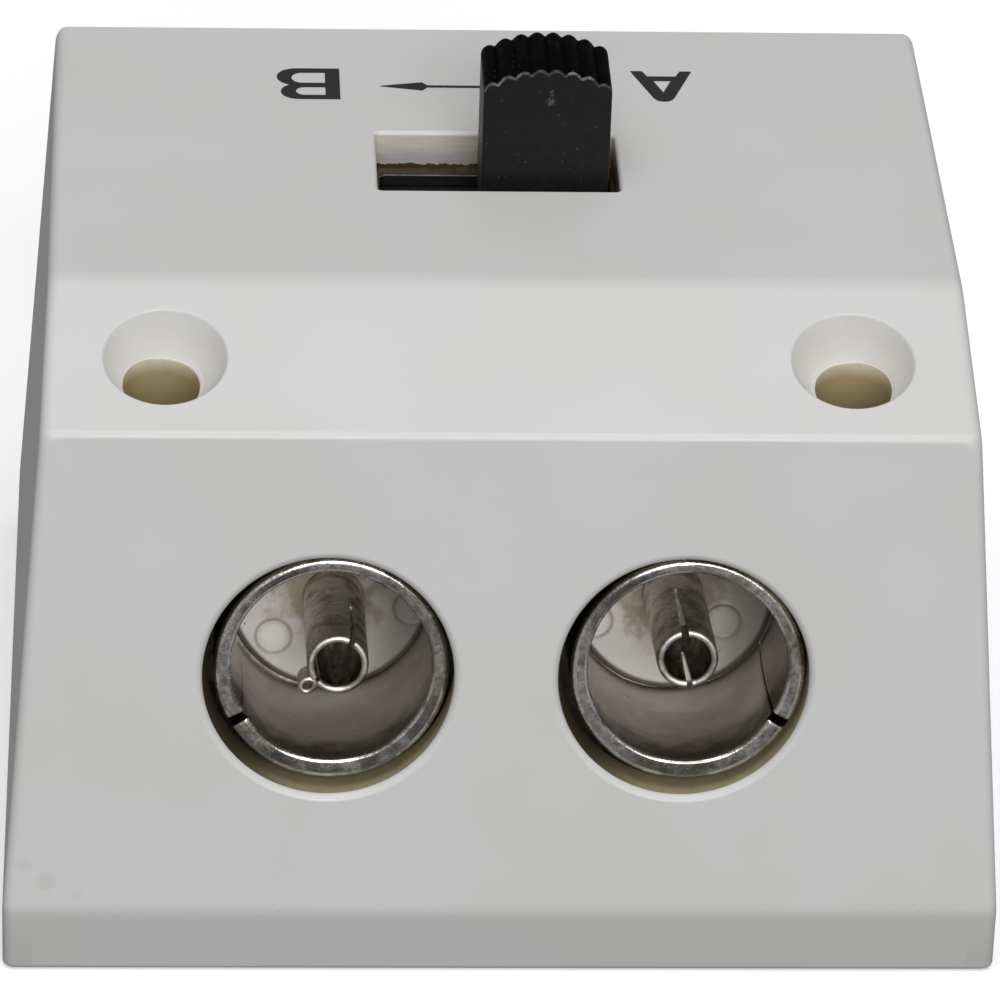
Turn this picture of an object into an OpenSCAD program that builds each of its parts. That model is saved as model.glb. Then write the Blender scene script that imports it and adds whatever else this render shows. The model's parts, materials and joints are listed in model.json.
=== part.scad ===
// Two-way coaxial aerial selector. A moulded box has two sockets in its leaning front, one in
// its rear wall, and a slide knob on top that joins either front socket to the rear one.
// X runs along the slide, -Y is the front, Z is up. The origin is the middle of the footprint,
// on the surface that the box is screwed to. All sizes are in millimetres.

/* [Box] */
// Width over the skirt
body_w = 45.2; // [44:0.2:50]
// Depth over the skirt
body_d = 40; // [39.5:0.5:44]
// Height of the top face
body_h = 28.8; // [28.6:0.1:30]
// Height of the crisp fold between the socket face and the screw face
fold_h = 25.65; // [25.4:0.05:25.9]
// Height of the upright skirt
skirt_h = 3.1; // [2.6:0.1:3.4]
// Backward lean of the socket face, in degrees
front_lean = 10.7; // [10:0.1:11.5]
// Slope of the screw face, in degrees
screw_face_tilt = 20; // [19:0.5:22]
// Inward lean of the side and rear walls, in degrees
draft = 4.3; // [4:0.1:4.6]
// Wall thickness
wall = 1.8; // [1.6:0.1:1.9]
// Radius on the outer edges
edge_r = 1; // [0.6:0.1:1.2]

/* [Fixing to a surface] */
// Distance between the two fixing screws
fixing_pitch = 31.1; // [31:0.1:31.6]
// Distance of the fixing holes up the screw face, from the fold
fixing_rise = 4.52; // [4.3:0.02:4.7]
// Radius of the fixing holes
fixing_r = 1.72; // [1.6:0.02:1.8]
// Radius of the countersink's mouth
sink_r = 2.78; // [2.6:0.02:2.9]
// Depth of the countersink
sink_depth = 1.6; // [1.4:0.1:1.7]
// Lower end of the tubes that guide the fixing screws
guide_z = 20.6; // [20.4:0.1:22]

/* [Sockets] */
// Distance between the two front sockets
socket_pitch = 15.9; // [15.8:0.1:16.2]
// Distance of the front sockets down their face, from the fold
socket_drop = 11.3; // [11:0.1:11.5]
// Height of the rear socket's mouth
rear_socket_z = 13.5; // [13:0.1:13.8]
// Sideways offset of the front sockets in their holes
socket_shift = 0.2; // [0:0.05:0.25]
// Radius of the holes in the box round the sockets
mouth_r = 5.6; // [5.55:0.05:5.8]
// Depth of a sleeve's rim below the box's face
sleeve_sink = 0.55; // [0.3:0.05:0.8]
// Inner radius of a sleeve, for a 9.52 mm plug
sleeve_bore_r = 4.775; // [4.77:0.005:4.8]
// Thickness of a sleeve's metal
sleeve_t = 0.5; // [0.4:0.05:0.5]
// Depth of the insulator's face behind the rim
insulator_a = 8.8; // [8.4:0.1:9]
// Depth of the contact's tip behind the rim
contact_tip_a = 1.4; // [1:0.1:2.2]
// Inner radius of a contact, opened by a 2.34 mm plug pin
contact_bore_r = 1.2; // [1.18:0.01:1.22]
// Outer radius of a contact
contact_r = 1.4; // [1.38:0.01:1.44]

/* [Slide switch] */
// Middle of the slot, front to back
switch_y = 4.42; // [4.2:0.02:4.6]
// Length of the slot
slot_w = 11.2; // [11.1:0.1:11.6]
// Width of the slot
slot_d = 5.7; // [5.4:0.1:6]
// Travel of the knob
travel = 4.3; // [4:0.1:4.4]
// Width of the knob
knob_w = 5.92; // [5.6:0.02:6]
// Front-to-back size of the knob
knob_d = 4.05; // [3.9:0.01:4.1]
// Height of the knob's crown over the top face
knob_rise = 5.77; // [5:0.01:6.2]
// Drop of the crown from its middle to its ends
knob_crown = 0.75; // [0.5:0.05:1]
// Number of finger ridges on the knob
knob_ridges = 8; // [6:1:10]
// Depth of the valleys between the ridges
ridge_depth = 0.28; // [0.2:0.02:0.34]

/* [Hidden] */
$fn = 64;
fit = 0.05;                 // clearance between parts that only locate each other
poke = 1;                   // how far a cutter passes the face that it opens

// the box's outlines from the side and from the front. Each point is followed by the angles
// of the edges that come in and go out, and by the radius that rounds the corner.
function front_y(z) = -body_d / 2 + max(0, z - skirt_h) * tan(front_lean);
function rear_y(z) = body_d / 2 - max(0, z - skirt_h) * tan(draft);
function side_x(z) = body_w / 2 - max(0, z - skirt_h) * tan(draft);
brow_y = front_y(fold_h) + (body_h - fold_h) / tan(screw_face_tilt);
SIDE = [
    [-body_d / 2, 0, 90, 90, 0],
    [-body_d / 2, skirt_h, 90, 90 - front_lean, edge_r],
    [front_y(fold_h), fold_h, 90 - front_lean, screw_face_tilt, edge_r / 2],
    [brow_y, body_h, screw_face_tilt, 0, 3 * edge_r],
    [rear_y(body_h), body_h, 0, draft - 90, edge_r],
    [body_d / 2, skirt_h, draft - 90, -90, edge_r],
    [body_d / 2, 0, -90, -90, 0]];
FRONT = [
    [-body_w / 2, 0, 90, 90, 0],
    [-body_w / 2, skirt_h, 90, 90 - draft, edge_r],
    [-side_x(body_h), body_h, 90 - draft, 0, edge_r],
    [side_x(body_h), body_h, 0, draft - 90, edge_r],
    [body_w / 2, skirt_h, draft - 90, -90, edge_r],
    [body_w / 2, 0, -90, -90, 0]];
function right_of(angle) = [sin(angle), -cos(angle)];
function inset(v, d) = let (n1 = right_of(v[2]), n2 = right_of(v[3]))
    [v[0], v[1]] + d * (n1 + n2) / (1 + n1 * n2);
function rounded(v) = v[4] == 0 ? [[v[0], v[1]]] : let (n = max(2, ceil(abs(v[3] - v[2]) / 15)))
    [for (i = [0:n]) inset(v, v[4]) - v[4] * right_of(v[2] + (v[3] - v[2]) * i / n)];
function outline(list) = [for (v = list) each rounded(v)];
function hollow(list) = let (last = len(list) - 1) [for (i = [0:last])
    inset(list[i], wall) - [0, i == 0 || i == last ? poke : 0]];

// base plate and its screws
base_t = 2;
base_gap = 0.15;
boss_x = 18.6;
boss_r = 2.3;
boss_top = 12;
boss_ys = [-14.6, 15.3];
screw_r = 1.05;
screw_head_r = 1.8;
screw_head_h = 0.95;
screw_len = 8;

// fixing holes
face_mid = [front_y(fold_h) + fixing_rise * cos(screw_face_tilt),
    fold_h + fixing_rise * sin(screw_face_tilt)];
fixing_y = face_mid[0] + sink_depth * sin(screw_face_tilt);
sink_ledge = 0.12;          // the countersink's foot is this much wider than the hole

// sockets, measured along their own axis from the sleeve's rim
plate_a = 10.1;
plate_t = 0.5;
tail_a = 14.3;
flange_r = 6.2;
flange_t = 0.4;
rivet_flange_r = 3.6;
rivet_flange_t = 0.8;
tail_r = 0.8;
cup_r = 0.42;
cup_depth = 1.2;
slit = 0.35;
front_socket_z = fold_h - socket_drop * cos(front_lean);
front_rim = [front_y(front_socket_z) + sleeve_sink * cos(front_lean),
    front_socket_z - sleeve_sink * sin(front_lean)];
rear_rim = [rear_y(rear_socket_z) - sleeve_sink * cos(draft),
    rear_socket_z - sleeve_sink * sin(draft)];
a_x = socket_pitch / 2 + socket_shift;
b_x = -socket_pitch / 2 + socket_shift;

// frames that carry the sockets
frame_half = 14.9;
frame_foot_half = 12;
frame_neck_z = 7.5;
frame_top_z = 19.8;
rear_frame_half = 7.5;
rear_frame_top_z = 19.6;
foot_len = 6.5;
rivet_r = 1.2;
rivet_head_r = 2.1;
rivet_head_h = 0.7;
rivet_sink_r = 2.3;
rivet_sink_h = 0.8;
rivet_x_front = 10;
rivet_x_rear = 5;
earth_r = 0.5;

// slide switch, from its top plate down
plate_z = body_h - wall;
can_half = [10.8, 5.2];
can_plate_t = 0.6;
can_wall_t = 0.5;
can_bottom = 20.1;
ear_half = 16.5;
ear_w = 7;
stake_x = 13.8;
stake_r = 1.2;
opening = [10.84, 4.2];
opening_r = 0.4;
board_bottom = 20.6;
board_t = 1.2;
rest_x = travel / 2;
slider_half = [7.8, 4.4];
slider_top = plate_z - can_plate_t - 0.06;
slider_bottom = 24.2;
terminal_row = 2.2;
terminal_size = [1.4, 0.5];
terminal_bottom = 16.2;
terminal_head = [2.2, 2, 0.3];
eyelet_z = 16.9;
eyelet_r = 0.42;
wire_r = 0.3;
bridge_w = 1.4;
bridge_t = 0.4;
detent_z = (slider_top + slider_bottom) / 2;
ball_r = 0.75;
ball_gap = 0.02;
spring_half = 3.1;
spring_r = 0.5;
spring_wire_r = 0.13;
spring_turns = 7;

// printed marks
ink_t = 0.04;
mark_foot_y = 13.7;
mark_a_x = 8.2;
mark_b_x = -7.16;
arrow_y = 11.95;
arrow_tip = 5.25;
arrow_head = 2;
arrow_half = 0.4;
arrow_line = 0.17;

module mirrored_x() { for (s = [-1, 1]) scale([s, 1, 1]) children(); }
module prism_x(points, half) {
    translate([-half, 0, 0]) rotate([90, 0, 90]) linear_extrude(2 * half) polygon(points);
}
module prism_y(points, half) {
    translate([0, half, 0]) rotate([90, 0, 0]) linear_extrude(2 * half) polygon(points);
}
module at_front(x) { translate([x, front_rim[0], front_rim[1]]) rotate([-90 - front_lean, 0, 0]) children(); }
module at_rear() {
    translate([0, rear_rim[0], rear_rim[1]]) rotate([0, 0, 180]) rotate([-90 - draft, 0, 0]) children();
}
module rounded_bar(size, r) {
    for (s = [size - [2 * r, 0, 0], size - [0, 2 * r, 0]]) translate([-s[0] / 2, -s[1] / 2, 0]) cube(s);
    for (x = [-1, 1], y = [-1, 1]) translate([x * (size[0] / 2 - r), y * (size[1] / 2 - r), 0])
        cylinder(r = r, h = size[2], $fn = 32);
}
module at_bosses() { for (x = [-boss_x, boss_x], y = boss_ys) translate([x, y, 0]) children(); }
module at_rivets() {
    for (x = [-rivet_x_front, rivet_x_front]) translate([x, front_foot_y() + 4.2, 0]) children();
    for (x = [-rivet_x_rear, rivet_x_rear]) translate([x, rear_foot_y() + 3.6, 0]) children();
}
module at_fixings() { for (x = [-0.5, 0.5] * fixing_pitch) translate([x, fixing_y, 0]) children(); }

// ---- the box ----
module cover_outside() {
    intersection() { prism_x(outline(SIDE), body_w); prism_y(outline(FRONT), body_d); }
}
module cover_cavity() {
    intersection() { prism_x(hollow(SIDE), body_w); prism_y(hollow(FRONT), body_d); }
}
module fixing_cutter() {
    at_fixings() translate([0, 0, -poke]) cylinder(r = fixing_r, h = body_h);
    mirrored_x() translate([fixing_pitch / 2, face_mid[0], face_mid[1]]) rotate([screw_face_tilt, 0, 0])
        translate([0, 0, -sink_depth]) union() {
            cylinder(r1 = fixing_r + sink_ledge, r2 = sink_r, h = sink_depth);
            translate([0, 0, sink_depth]) cylinder(r = sink_r, h = 2);
        }
}
module top_cover() color([0.80, 0.80, 0.79]) {
    difference() {
        union() {
            difference() { cover_outside(); cover_cavity(); }
            intersection() {
                cover_outside();
                at_fixings() translate([0, 0, guide_z]) cylinder(r = 3, h = body_h);
            }
            at_bosses() translate([0, 0, base_t]) cylinder(r = boss_r, h = boss_top - base_t);
            mirrored_x() translate([stake_x, switch_y, 0]) {
                translate([0, 0, plate_z - can_plate_t - 0.8]) cylinder(r = stake_r, h = can_plate_t + 1);
                translate([0, 0, plate_z - can_plate_t - 0.8]) cylinder(r1 = 1.5, r2 = 1.9, h = 0.8);
            }
        }
        for (x = [-0.5, 0.5] * socket_pitch)
            at_front(x) translate([0, 0, -poke * 2]) cylinder(r = mouth_r, h = 5);
        at_rear() translate([0, 0, -poke * 2]) cylinder(r = mouth_r, h = 5);
        translate([-slot_w / 2, switch_y - slot_d / 2, plate_z - poke])
            cube([slot_w, slot_d, wall + 2 * poke]);
        fixing_cutter();
        at_bosses() cylinder(r = screw_r + fit, h = base_t + screw_len);
    }
}
module base_plate() color([0.74, 0.74, 0.72]) {
    size = [body_w, body_d] - [2, 2] * (wall + base_gap);
    difference() {
        translate([-size[0] / 2, -size[1] / 2, 0]) cube([size[0], size[1], base_t]);
        at_fixings() translate([0, 0, -poke]) cylinder(r = fixing_r, h = 5);
        at_bosses() {
            translate([0, 0, -poke]) cylinder(r = screw_r + fit, h = 5);
            cylinder(r1 = screw_head_r + fit, r2 = screw_r + fit, h = screw_head_h + fit);
        }
        at_rivets() {
            translate([0, 0, -poke]) cylinder(r = rivet_r + fit, h = 5);
            translate([0, 0, -poke]) cylinder(r = rivet_sink_r, h = poke + rivet_sink_h);
        }
    }
}
module base_screws() color([0.60, 0.60, 0.62]) {
    at_bosses() difference() {
        union() {
            translate([0, 0, fit]) cylinder(r1 = screw_head_r, r2 = screw_r, h = screw_head_h);
            translate([0, 0, fit + screw_head_h]) cylinder(r = screw_r, h = screw_len - 1);
            translate([0, 0, fit + screw_head_h + screw_len - 1]) cylinder(r1 = screw_r, r2 = 0.3, h = 0.9);
        }
        for (a = [45, 135]) rotate([0, 0, a]) translate([-1, -0.2, -poke]) cube([2, 0.4, poke + 0.7]);
    }
}

// ---- the socket frames ----
function lean_y(rim, lean, z, side) = rim[0] + side * (plate_a / cos(lean))
    + side * (z - rim[1]) * tan(lean);
function front_foot_y() = lean_y(front_rim, front_lean, base_t, 1);
function rear_foot_y() = lean_y(rear_rim, draft, base_t, -1);
module front_frame() color([0.72, 0.72, 0.70]) {
    back = plate_t / cos(front_lean);
    y0 = front_foot_y();
    y1 = lean_y(front_rim, front_lean, frame_top_z, 1);
    side = [[y0, base_t], [y1, frame_top_z], [y1 + back, frame_top_z],
        [y0 + back + plate_t * tan(front_lean), base_t + plate_t], [y0 + foot_len, base_t + plate_t],
        [y0 + foot_len, base_t]];
    difference() {
        intersection() {
            prism_x(side, frame_half);
            prism_y([[-frame_foot_half, 0], [frame_foot_half, 0], [frame_foot_half, frame_neck_z],
                [frame_half, frame_neck_z + 1.5], [frame_half, 22], [-frame_half, 22],
                [-frame_half, frame_neck_z + 1.5], [-frame_foot_half, frame_neck_z]], body_d);
        }
        for (x = [a_x, b_x]) at_front(x) translate([0, 0, plate_a - poke]) cylinder(r = 4, h = 3);
        at_rivets() cylinder(r = rivet_r + fit, h = 5);
    }
}
module rear_frame() color([0.72, 0.72, 0.70]) {
    back = plate_t / cos(draft);
    y0 = rear_foot_y();
    y1 = lean_y(rear_rim, draft, rear_frame_top_z, -1);
    side = [[y0, base_t], [y0 + foot_len, base_t], [y0 + foot_len, base_t + plate_t],
        [y0 - plate_t * tan(draft), base_t + plate_t], [y1, rear_frame_top_z],
        [y1 - back, rear_frame_top_z], [y0 - back, base_t]];
    difference() {
        prism_x(side, rear_frame_half);
        at_rear() translate([0, 0, plate_a - poke]) cylinder(r = 4, h = 3);
        at_rivets() cylinder(r = rivet_r + fit, h = 5);
    }
}
module frame_rivets() color([0.75, 0.66, 0.45]) {
    top = base_t + plate_t;
    at_rivets() difference() {
        union() {
            translate([0, 0, rivet_sink_h - rivet_head_h]) cylinder(r = rivet_head_r, h = rivet_head_h);
            cylinder(r = rivet_r, h = top);
            translate([0, 0, top]) cylinder(r1 = 1.9, r2 = 1.5, h = 0.5);
        }
        translate([0, 0, -poke]) cylinder(r = 0.7, h = 8);
        translate([0, 0, -poke]) cylinder(r = 3, h = poke + rivet_sink_h - rivet_head_h);
    }
}
module earth_wire() color([0.80, 0.78, 0.74]) {
    start = front_foot_y() + 1.5;
    end = rear_foot_y() - 0.8;
    translate([0, start, base_t + plate_t + earth_r]) rotate([-90, 0, 0])
        cylinder(r = earth_r, h = end - start);
}

// ---- one socket ----
module sleeve(slit_angle) color([0.70, 0.69, 0.66]) {
    out = sleeve_bore_r + sleeve_t;
    lip = 0.12;
    difference() {
        rotate_extrude() polygon([[sleeve_bore_r + lip, 0], [out - lip, 0], [out, lip],
            [out, plate_a - flange_t], [flange_r, plate_a - flange_t], [flange_r, plate_a],
            [sleeve_bore_r, plate_a], [sleeve_bore_r, lip]]);
        rotate([0, 0, slit_angle]) translate([0, -slit / 2, -poke])
            cube([2 * flange_r, slit, plate_a + 2 * poke]);
    }
}
module insulator() color([0.86, 0.85, 0.80]) {
    hole = contact_r + 0.02;
    rear = plate_a + plate_t;
    rotate_extrude() polygon([[hole, insulator_a], [sleeve_bore_r - 0.02, insulator_a],
        [sleeve_bore_r - 0.02, plate_a], [4 - 0.02, plate_a], [4 - 0.02, rear - 0.01],
        [rivet_flange_r, rear], [rivet_flange_r - 0.2, rear + rivet_flange_t],
        [hole, rear + rivet_flange_t]]);
}
module contact(slit_angle) color([0.72, 0.70, 0.66]) {
    rear = plate_a + plate_t + rivet_flange_t;
    difference() {
        rotate_extrude() polygon([[contact_bore_r, contact_tip_a], [contact_r - 0.08, contact_tip_a],
            [contact_r, contact_tip_a + 0.1], [contact_r, rear], [2, rear], [2, rear + 0.3],
            [tail_r, rear + 0.3], [tail_r, tail_a], [cup_r, tail_a], [cup_r, tail_a - cup_depth],
            [0, tail_a - cup_depth], [0, insulator_a - 0.2], [contact_bore_r, insulator_a - 0.2]]);
        rotate([0, 0, slit_angle]) translate([-2, -0.14, 0]) cube([4, 0.28, contact_tip_a + 4]);
    }
}
module sleeve_a() { at_front(a_x) sleeve(30); }
module sleeve_b() { at_front(b_x) sleeve(150); }
module sleeve_out() { at_rear() sleeve(90); }
module insulator_a() { at_front(a_x) insulator(); }
module insulator_b() { at_front(b_x) insulator(); }
module insulator_out() { at_rear() insulator(); }
module contact_a() { at_front(a_x) contact(95); }
module contact_b() { at_front(b_x) contact(125); }
module contact_out() { at_rear() contact(90); }

// ---- the slide switch ----
module switch_frame() color([0.70, 0.68, 0.62]) {
    height = plate_z - can_bottom;
    inner = can_half - [1, 1] * can_wall_t;
    difference() {
        union() {
            translate([-can_half[0], switch_y - can_half[1], can_bottom])
                cube([2 * can_half[0], 2 * can_half[1], height]);
            translate([-ear_half, switch_y - ear_w / 2, plate_z - can_plate_t])
                cube([2 * ear_half, ear_w, can_plate_t]);
        }
        translate([-inner[0], switch_y - inner[1], can_bottom - poke])
            cube([2 * inner[0], 2 * inner[1], height - can_plate_t + poke]);
        translate([0, switch_y, plate_z - can_plate_t - poke])
            rounded_bar([opening[0], opening[1], can_plate_t + 2 * poke], opening_r);
        for (x = [-stake_x, stake_x])
            translate([x, switch_y, plate_z - 2]) cylinder(r = stake_r + fit, h = 4);
        for (x = [-rest_x, rest_x]) translate([x, switch_y + 8, detent_z]) rotate([90, 0, 0])
            cylinder(r = 0.45, h = 16, $fn = 32);
    }
    for (x = [-7, 7], s = [-1, 1]) translate([x - 1, switch_y + s * (inner[1] - 0.45) - 0.55, can_bottom])
        cube([2, 1.1, board_bottom - can_bottom]);
}
module terminal_board() color([0.45, 0.28, 0.14]) {
    size = 2 * (can_half - [1, 1] * (can_wall_t + 0.05));
    difference() {
        translate([-size[0] / 2, switch_y - size[1] / 2, board_bottom]) cube([size[0], size[1], board_t]);
        at_terminals()
            translate([-terminal_size[0] / 2 - 0.02, -terminal_size[1] / 2 - 0.02, board_bottom - poke])
            cube([terminal_size[0] + 0.04, terminal_size[1] + 0.04, board_t + 2 * poke]);
    }
}
module at_terminals() {
    for (x = [-travel, 0, travel], s = [-1, 1]) translate([x, switch_y + s * terminal_row, 0]) children();
}
module switch_terminals() color([0.80, 0.74, 0.60]) {
    top = board_bottom + board_t;
    at_terminals() difference() {
        union() {
            translate([-terminal_size[0] / 2, -terminal_size[1] / 2, terminal_bottom])
                cube([terminal_size[0], terminal_size[1], top - terminal_bottom + 0.1]);
            translate([-terminal_head[0] / 2, -terminal_head[1] / 2, top]) cube(terminal_head);
        }
        translate([0, 1, eyelet_z]) rotate([90, 0, 0]) cylinder(r = eyelet_r, h = 2, $fn = 24);
    }
}
function crown_z(x) = let (r = (pow(knob_w / 2, 2) + pow(knob_crown, 2)) / (2 * knob_crown))
    body_h + knob_rise - r + sqrt(r * r - x * x);
last_crest = knob_w / 2 * (1 - 1 / knob_ridges);
function ridge_z(x) = crown_z(x) - (abs(x) > last_crest ? 0 :
    ridge_depth * (1 - abs(sin(180 * x * knob_ridges / knob_w))));
module slider_knob() color([0.10, 0.10, 0.11]) {
    steps = 12 * knob_ridges;
    outline = [[-knob_w / 2, slider_bottom + 1], [knob_w / 2, slider_bottom + 1],
        for (i = [0:steps]) let (x = knob_w / 2 - i * knob_w / steps) [x, ridge_z(x)]];
    difference() {
        translate([rest_x, switch_y, 0]) union() {
            prism_y(outline, knob_d / 2);
            translate([-slider_half[0], -slider_half[1], slider_bottom])
                cube([2 * slider_half[0], 2 * slider_half[1], slider_top - slider_bottom]);
        }
        translate([rest_x, switch_y + 8, detent_z]) rotate([90, 0, 0])
            cylinder(r = ball_r + fit, h = 16, $fn = 48);
    }
}
module bridge_contacts() color([0.80, 0.74, 0.60]) {
    foot = board_bottom + board_t + terminal_head[2] + 0.03;
    top = slider_bottom - bridge_t;
    lower = [[-2.9, foot + 0.7], [-rest_x, foot], [-1.1, top], [1.1, top], [rest_x, foot], [2.9, foot + 0.7]];
    upper = [for (i = [5:-1:0]) lower[i] + [0, bridge_t]];
    for (s = [-1, 1]) translate([rest_x, switch_y + s * terminal_row, 0])
        prism_y(concat(lower, upper), bridge_w / 2);
}
module detent_balls() color([0.75, 0.75, 0.78]) {
    y = can_half[1] - can_wall_t - ball_gap - ball_r;
    for (s = [-1, 1]) translate([rest_x, switch_y + s * y, detent_z]) sphere(ball_r, $fn = 32);
}

// ---- wires and the spring, swept along a path ----
function unit(v) = v / norm(v);
function tangent(path, i) = unit(path[min(i + 1, len(path) - 1)] - path[max(i - 1, 0)]);
function ring(path, i, r, ref, sides) = let (t = tangent(path, i), u = unit(cross(t, ref)), v = cross(t, u))
    [for (k = [0:sides - 1]) path[i] + r * (cos(360 * k / sides) * u + sin(360 * k / sides) * v)];
module tube(path, r, ref, sides = 8) {
    n = len(path);
    points = [for (i = [0:n - 1]) each ring(path, i, r, ref, sides)];
    sides_faces = [for (i = [0:n - 2], k = [0:sides - 1]) let (q = (k + 1) % sides)
        [i * sides + k, i * sides + q, (i + 1) * sides + q, (i + 1) * sides + k]];
    ends = [[for (k = [sides - 1:-1:0]) k], [for (k = [0:sides - 1]) (n - 1) * sides + k]];
    polyhedron(points, concat(sides_faces, ends), convexity = 6);
}
function bezier(a, b, c, d, n) = [for (i = [0:n]) let (t = i / n, s = 1 - t)
    s * s * s * a + 3 * s * s * t * b + 3 * s * t * t * c + t * t * t * d];
function front_axis_point(x, a) = [x, front_rim[0] + a * cos(front_lean), front_rim[1] - a * sin(front_lean)];
function rear_axis_point(a) = [0, rear_rim[0] - a * cos(draft), rear_rim[1] - a * sin(draft)];
through_start = switch_y - terminal_row - 0.9;
through_end = switch_y + terminal_row + 0.55;
function wire_path(cup, exit, pull, x) = concat([cup],
    bezier(exit, pull, [x, through_start - 2.6, eyelet_z], [x, through_start, eyelet_z], 14),
    [[x, switch_y, eyelet_z], [x, through_end, eyelet_z]]);
module input_wire(from_x, to_x) {
    tube(wire_path(front_axis_point(from_x, tail_a - cup_depth + 0.1), front_axis_point(from_x, tail_a + 0.2),
        front_axis_point(from_x, tail_a + 2.4), to_x), wire_r, [1, 0, 0]);
}
module wire_a() color([0.80, 0.78, 0.74]) { input_wire(a_x, travel); }
module wire_b() color([0.80, 0.78, 0.74]) { input_wire(b_x, -travel); }
module wire_out() color([0.80, 0.78, 0.74]) {
    tube(wire_path(rear_axis_point(tail_a - cup_depth + 0.1), rear_axis_point(tail_a + 0.2),
        rear_axis_point(tail_a + 4.4), 0), wire_r, [1, 0, 0]);
}
module detent_spring() color([0.75, 0.75, 0.78]) {
    per_turn = 14;
    steps = spring_turns * per_turn;
    path = [for (i = [0:steps]) let (a = 360 * i / per_turn)
        [rest_x + spring_r * cos(a), switch_y + spring_half * (2 * i / steps - 1),
            detent_z + spring_r * sin(a)]];
    tube(path, spring_wire_r, [0, 1, 0], 6);
}

// ---- printed marks, read from behind the box ----
module print_at(x) {
    translate([x, mark_foot_y, body_h]) rotate([0, 0, 180]) linear_extrude(ink_t) children();
}
module bowl(w, h, bulge) {
    square([w - bulge, h]);
    translate([w - bulge, h / 2]) scale([bulge / (h / 2), 1]) circle(h / 2, $fn = 40);
}
module mark_a() color([0.05, 0.05, 0.05]) {
    print_at(mark_a_x) difference() {
        union() {
            polygon([[-1.45, 0], [-0.9, 0], [-0.68, 0.54], [0.68, 0.54], [0.9, 0], [1.45, 0],
                [0.5, 2.72], [-0.5, 2.72]]);
            translate([0, 2.6]) circle(0.5, $fn = 40);
        }
        polygon([[-0.43, 0.97], [0.43, 0.97], [0, 2.2]]);
    }
}
module mark_b() color([0.05, 0.05, 0.05]) {
    print_at(mark_b_x) difference() {
        union() {
            bowl(2.98, 1.7, 0.95);
            translate([0, 1.6]) bowl(2.8, 1.53, 0.85);
        }
        translate([0.69, 0.4]) bowl(1.6, 1.1, 0.5);
        translate([0.69, 1.9]) bowl(1.4, 0.85, 0.4);
    }
}
module mark_arrow() color([0.05, 0.05, 0.05]) {
    translate([0, arrow_y, body_h]) linear_extrude(ink_t) union() {
        translate([-arrow_tip + arrow_head, -arrow_line / 2])
            square([2 * (arrow_tip - arrow_head), arrow_line]);
        for (a = [0, 180]) rotate(a) polygon([[arrow_tip, 0], [arrow_tip - arrow_head, arrow_half],
            [arrow_tip - arrow_head - 0.3, 0], [arrow_tip - arrow_head, -arrow_half]]);
    }
}

top_cover();
base_plate();
base_screws();
front_frame();
rear_frame();
frame_rivets();
earth_wire();
sleeve_a();
insulator_a();
contact_a();
sleeve_b();
insulator_b();
contact_b();
sleeve_out();
insulator_out();
contact_out();
switch_frame();
terminal_board();
switch_terminals();
slider_knob();
bridge_contacts();
detent_spring();
detent_balls();
wire_a();
wire_b();
wire_out();
mark_a();
mark_b();
mark_arrow();
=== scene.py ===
"""Looks of a two-way coaxial aerial selector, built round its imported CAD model.

Meshes are worked out in millimetres, in the CAD frame: +X along the knob's slide, -Y the leaning front,
+Z up. finish_piece() scales each one to metres, which is the unit of every Blender object here."""

import json
import math

import bmesh
import bpy
from mathutils import Matrix, Vector


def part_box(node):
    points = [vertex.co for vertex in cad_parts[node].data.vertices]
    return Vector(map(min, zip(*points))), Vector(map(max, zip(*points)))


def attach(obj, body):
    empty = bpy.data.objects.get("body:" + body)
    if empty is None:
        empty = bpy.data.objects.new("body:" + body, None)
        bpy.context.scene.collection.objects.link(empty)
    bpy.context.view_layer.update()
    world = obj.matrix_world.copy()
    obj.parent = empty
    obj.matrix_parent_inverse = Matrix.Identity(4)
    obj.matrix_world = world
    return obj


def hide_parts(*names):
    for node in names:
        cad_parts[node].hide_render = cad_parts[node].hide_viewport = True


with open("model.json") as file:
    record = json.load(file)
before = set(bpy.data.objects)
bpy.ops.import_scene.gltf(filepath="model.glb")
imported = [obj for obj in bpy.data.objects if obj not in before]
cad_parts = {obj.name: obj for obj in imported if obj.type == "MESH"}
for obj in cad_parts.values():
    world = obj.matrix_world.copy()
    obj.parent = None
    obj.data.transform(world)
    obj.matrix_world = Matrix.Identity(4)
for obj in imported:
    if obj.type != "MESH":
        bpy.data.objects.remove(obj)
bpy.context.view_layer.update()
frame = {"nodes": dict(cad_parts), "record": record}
MM = 0.001
HAIR = 0.004        # a cutter's rounded edge starts this far outside the face it cuts
NEAR = 0.02         # how far off a face's middle may be when its finish is chosen by place
tan, cos, sin, rad = math.tan, math.cos, math.sin, math.radians
QUARTER = [rad(a) for a in range(0, 91, 15)]      # the steps of a rounded edge

# ---- driving sizes, in millimetres and radians ----
# They are the CAD model's, but for the knob's crown and ridges, MOUTH_R and INSULATOR_A.
BODY_W, BODY_D, BODY_H = 45.2, 40.0, 28.8
SKIRT_H, FOLD_H = 3.1, 25.65
LEAN, TILT, DRAFT = rad(10.7), rad(20.0), rad(4.3)     # of the front, the screw face and the side walls
WALL = 1.8
SWITCH_Y = 4.42
SLOT_W, SLOT_D = 11.2, 5.7
KNOB_W, KNOB_D, KNOB_RISE, KNOB_CROWN = 5.92, 4.05, 5.77, 0.90
RIDGES, RIDGE_PITCH, RIDGE_DEPTH = 8, 0.775, 0.22
REST_X = 2.15
SOCKET_PITCH, MOUTH_R, SLEEVE_SINK = 15.9, 5.64, 0.55
SLEEVE_R, SLEEVE_T, FLANGE_R, FLANGE_T, PLATE_A = 4.775, 0.5, 6.2, 0.4, 10.1
INSULATOR_A, TIP_A, TAIL_A = 9.95, 1.4, 14.3
CONTACT_BORE, CONTACT_R = 1.2, 1.4
MOUNT_A = 5.0                      # a contact's mount is this far behind its sleeve's rim
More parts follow.
